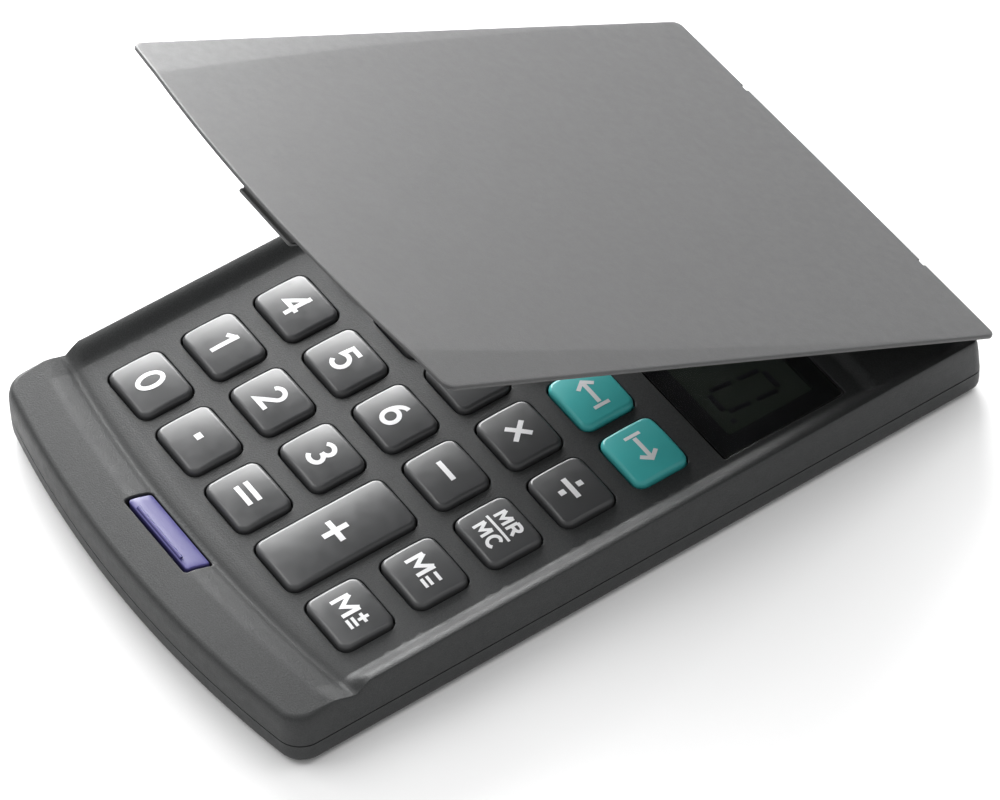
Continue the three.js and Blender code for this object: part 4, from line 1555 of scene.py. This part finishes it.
def cover_points():
    """Points that carry the outer face, close together along the crease."""
    points = [grid(-CREASE_X, CREASE_X, COVER_FRONT_Y, COVER_BACK_Y, 2.0, 2.0)]
    for y in np.arange(COVER_FRONT_Y + 0.5, COVER_BACK_Y, 1.5):
        if crease(y) < COVER_HALF_WIDTH - 0.7:
            points.append([(side * (crease(y) + off), y) for side in (-1, 1) for off in (-0.15, 0.15)])
    return np.vstack(points)


def cover_plate():
    outline = bowed_outline(COVER_HALF_WIDTH, COVER_FRONT_Y, COVER_BACK_Y, COVER_RADIUS, COVER_CORNER, 1.2)
    normals = inward(outline)
    edge_z = cover_top(*outline.T)
    mesh = Mesh()
    loops = []
    for inset, drop in COVER_EDGE_PROFILE:
        ring = outline + normals * inset
        face_z = cover_top(*ring.T)
        loops.append(mesh.loop(ring, np.minimum(face_z, edge_z + 0.02) - drop if drop else face_z))
    loops.append(mesh.loop(outline + normals * COVER_BOTTOM_INSET, COVER_BOTTOM_Z))
    mesh.chain(loops)
    tray_outline = panel_outline(COVER_TRAY, 2.0)
    tray_z = COVER_BOTTOM_Z + COVER_TRAY_DEPTH
    tray = mesh.chain([mesh.loop(tray_outline, z) for z in (COVER_BOTTOM_Z, tray_z)])
    mesh.fill(loops[-1], [tray[0]])
    mesh.fill(tray[1], inner=grid(-30, 30, -35, 44, 4, 4), height=tray_z)
    mesh.fill(loops[0], inner=cover_points(), height=cover_top, clear=0.25)
    return mesh.object("flip_cover_moulding", COVER_PAINT, 30)


def cover_lugs():
    """Round-ended hinge lugs that hang under the cover's back edge."""
    root_z = COVER_BOTTOM_Z + 0.4
    profile = list(arc(HINGE_Y, HINGE_Z, LUG_RADIUS, -math.pi, 0, 20))
    profile += [(COVER_BACK_Y - 0.1, root_z), (HINGE_Y - LUG_RADIUS, root_z)]
    lugs = Mesh()
    for span in mirrored(LUG_NEAR, LUG_FAR):
        start, count = len(lugs.points), len(profile)
        lugs.points += [(x, y, z) for x in span for y, z in profile]
        ends = [list(range(first, first + count)) for first in (start, start + count)]
        lugs.cap(*lugs.chain(ends))
    return lugs


def cover_cuts():
    """The lugs' bores and two small notches in the back edge."""
    cuts = hinge_bores(LUG_NEAR, LUG_FAR, COVER_BORE, COVER_BORE_REACH)
    near, far = COVER_NOTCH_X - COVER_NOTCH_HALF, COVER_NOTCH_X + COVER_NOTCH_HALF
    for notch in mirrored(near, far):
        add_box(cuts, *notch, COVER_BACK_Y - COVER_NOTCH_DEPTH, COVER_BACK_Y + 1, 8, 11)
    return cuts


def cover_tongue():
    def outline(inset):
        size = (2 * (TONGUE_X - inset), TONGUE_DEPTH - 2 * inset)
        return rounded_rect(0.0, TONGUE_Y, *size, 0.4 - inset, along=(16, 3))

    tongue = rounded_slab(outline, *TONGUE_Z, 0.1).object("cover_tongue", COVER_PAINT)
    root = Mesh()
    add_box(root, *TONGUE_ROOT)
    combine(tongue, root, "UNION", 30)
    return tongue


def flip_cover():
    piece = cover_plate()
    combine(piece, cover_lugs(), "UNION", 30)
    combine(piece, cover_cuts(), "DIFFERENCE", 30)
    combine(piece, cover_tongue(), "UNION", 30)
    weigh_normals(piece)
    pivot = Matrix.Translation(Vector((0, HINGE_Y, HINGE_Z)) * MM)
    turn = Matrix.Rotation(math.radians(-COVER_OPEN_DEG), 4, "X")
    piece.data.transform(pivot @ turn @ pivot.inverted())
    stand_in(piece, "flip_cover")


flip_cover()


# ---- studio ----

FLOOR_SIZE_M = 6
WORLD_STRENGTH = 0.52


def studio_floor():
    finish = Finish("floor_white")
    finish.colour(finish.mix(finish.noise(40.0), (0.93, 0.93, 0.93), (0.95, 0.95, 0.95)))
    finish.set(Roughness=0.9)
    bpy.ops.mesh.primitive_plane_add(size=FLOOR_SIZE_M)
    floor = bpy.context.object
    floor.name = "studio_floor"
    floor.data.materials.append(finish.material)


studio_floor()


def soft_light(name, direction, distance, size, power):
    """A rectangular light that shines at the origin; distance and size are in metres."""
    data = bpy.data.lights.new(name, "AREA")
    data.shape = "RECTANGLE"
    data.size, data.size_y = size
    data.energy = power
    light = bpy.data.objects.new(name, data)
    bpy.context.scene.collection.objects.link(light)
    towards = Vector(direction).normalized()
    light.location = towards * distance
    light.rotation_mode = "QUATERNION"
    light.rotation_quaternion = towards.to_track_quat("Z", "Y")


soft_light("key_softbox", (-0.89, 0.33, 0.37), 0.5, (0.42, 0.28), 6)
soft_light("top_softbox", (0.0, 0.4, 1.0), 1.0, (0.8, 0.8), 4.8)
soft_light("front_softbox", (-0.5, -0.5, 1.0), 0.8, (0.5, 0.5), 2.2)

world = bpy.data.worlds.new("studio_world")
bpy.context.scene.world = world
world.use_nodes = True
background = world.node_tree.nodes["Background"]
background.inputs["Color"].default_value = (1, 1, 1, 1)
background.inputs["Strength"].default_value = WORLD_STRENGTH
bpy.context.scene.view_settings.view_transform = "Standard"


# ---- camera ----

CAMERA_AZIMUTH_DEG = 58.379
CAMERA_ELEVATION_DEG = 49.141
CAMERA_ROLL_DEG = -3.488
CAMERA_TARGET = (-0.455, 2.051, 0)
CAMERA_DISTANCE = 682.77
SENSOR_WIDTH = 36
FOCAL_LENGTH = 201.0


def camera():
    data = bpy.data.cameras.new("camera")
    data.sensor_width = SENSOR_WIDTH
    data.lens = FOCAL_LENGTH
    data.clip_start, data.clip_end = 0.05, 20
    made = bpy.data.objects.new("camera", data)
    bpy.context.scene.collection.objects.link(made)
    azimuth, elevation = math.radians(CAMERA_AZIMUTH_DEG), math.radians(CAMERA_ELEVATION_DEG)
    level_part = math.cos(elevation)
    back = Vector((math.sin(azimuth) * level_part, -math.cos(azimuth) * level_part, math.sin(elevation)))
    turned = back.to_track_quat("Z", "Y").to_matrix().to_4x4()
    roll = Matrix.Rotation(math.radians(CAMERA_ROLL_DEG), 4, "Z")
    place = Matrix.Translation((Vector(CAMERA_TARGET) + back * CAMERA_DISTANCE) * MM)
    made.matrix_world = place @ turned @ roll
    bpy.context.scene.camera = made


camera()
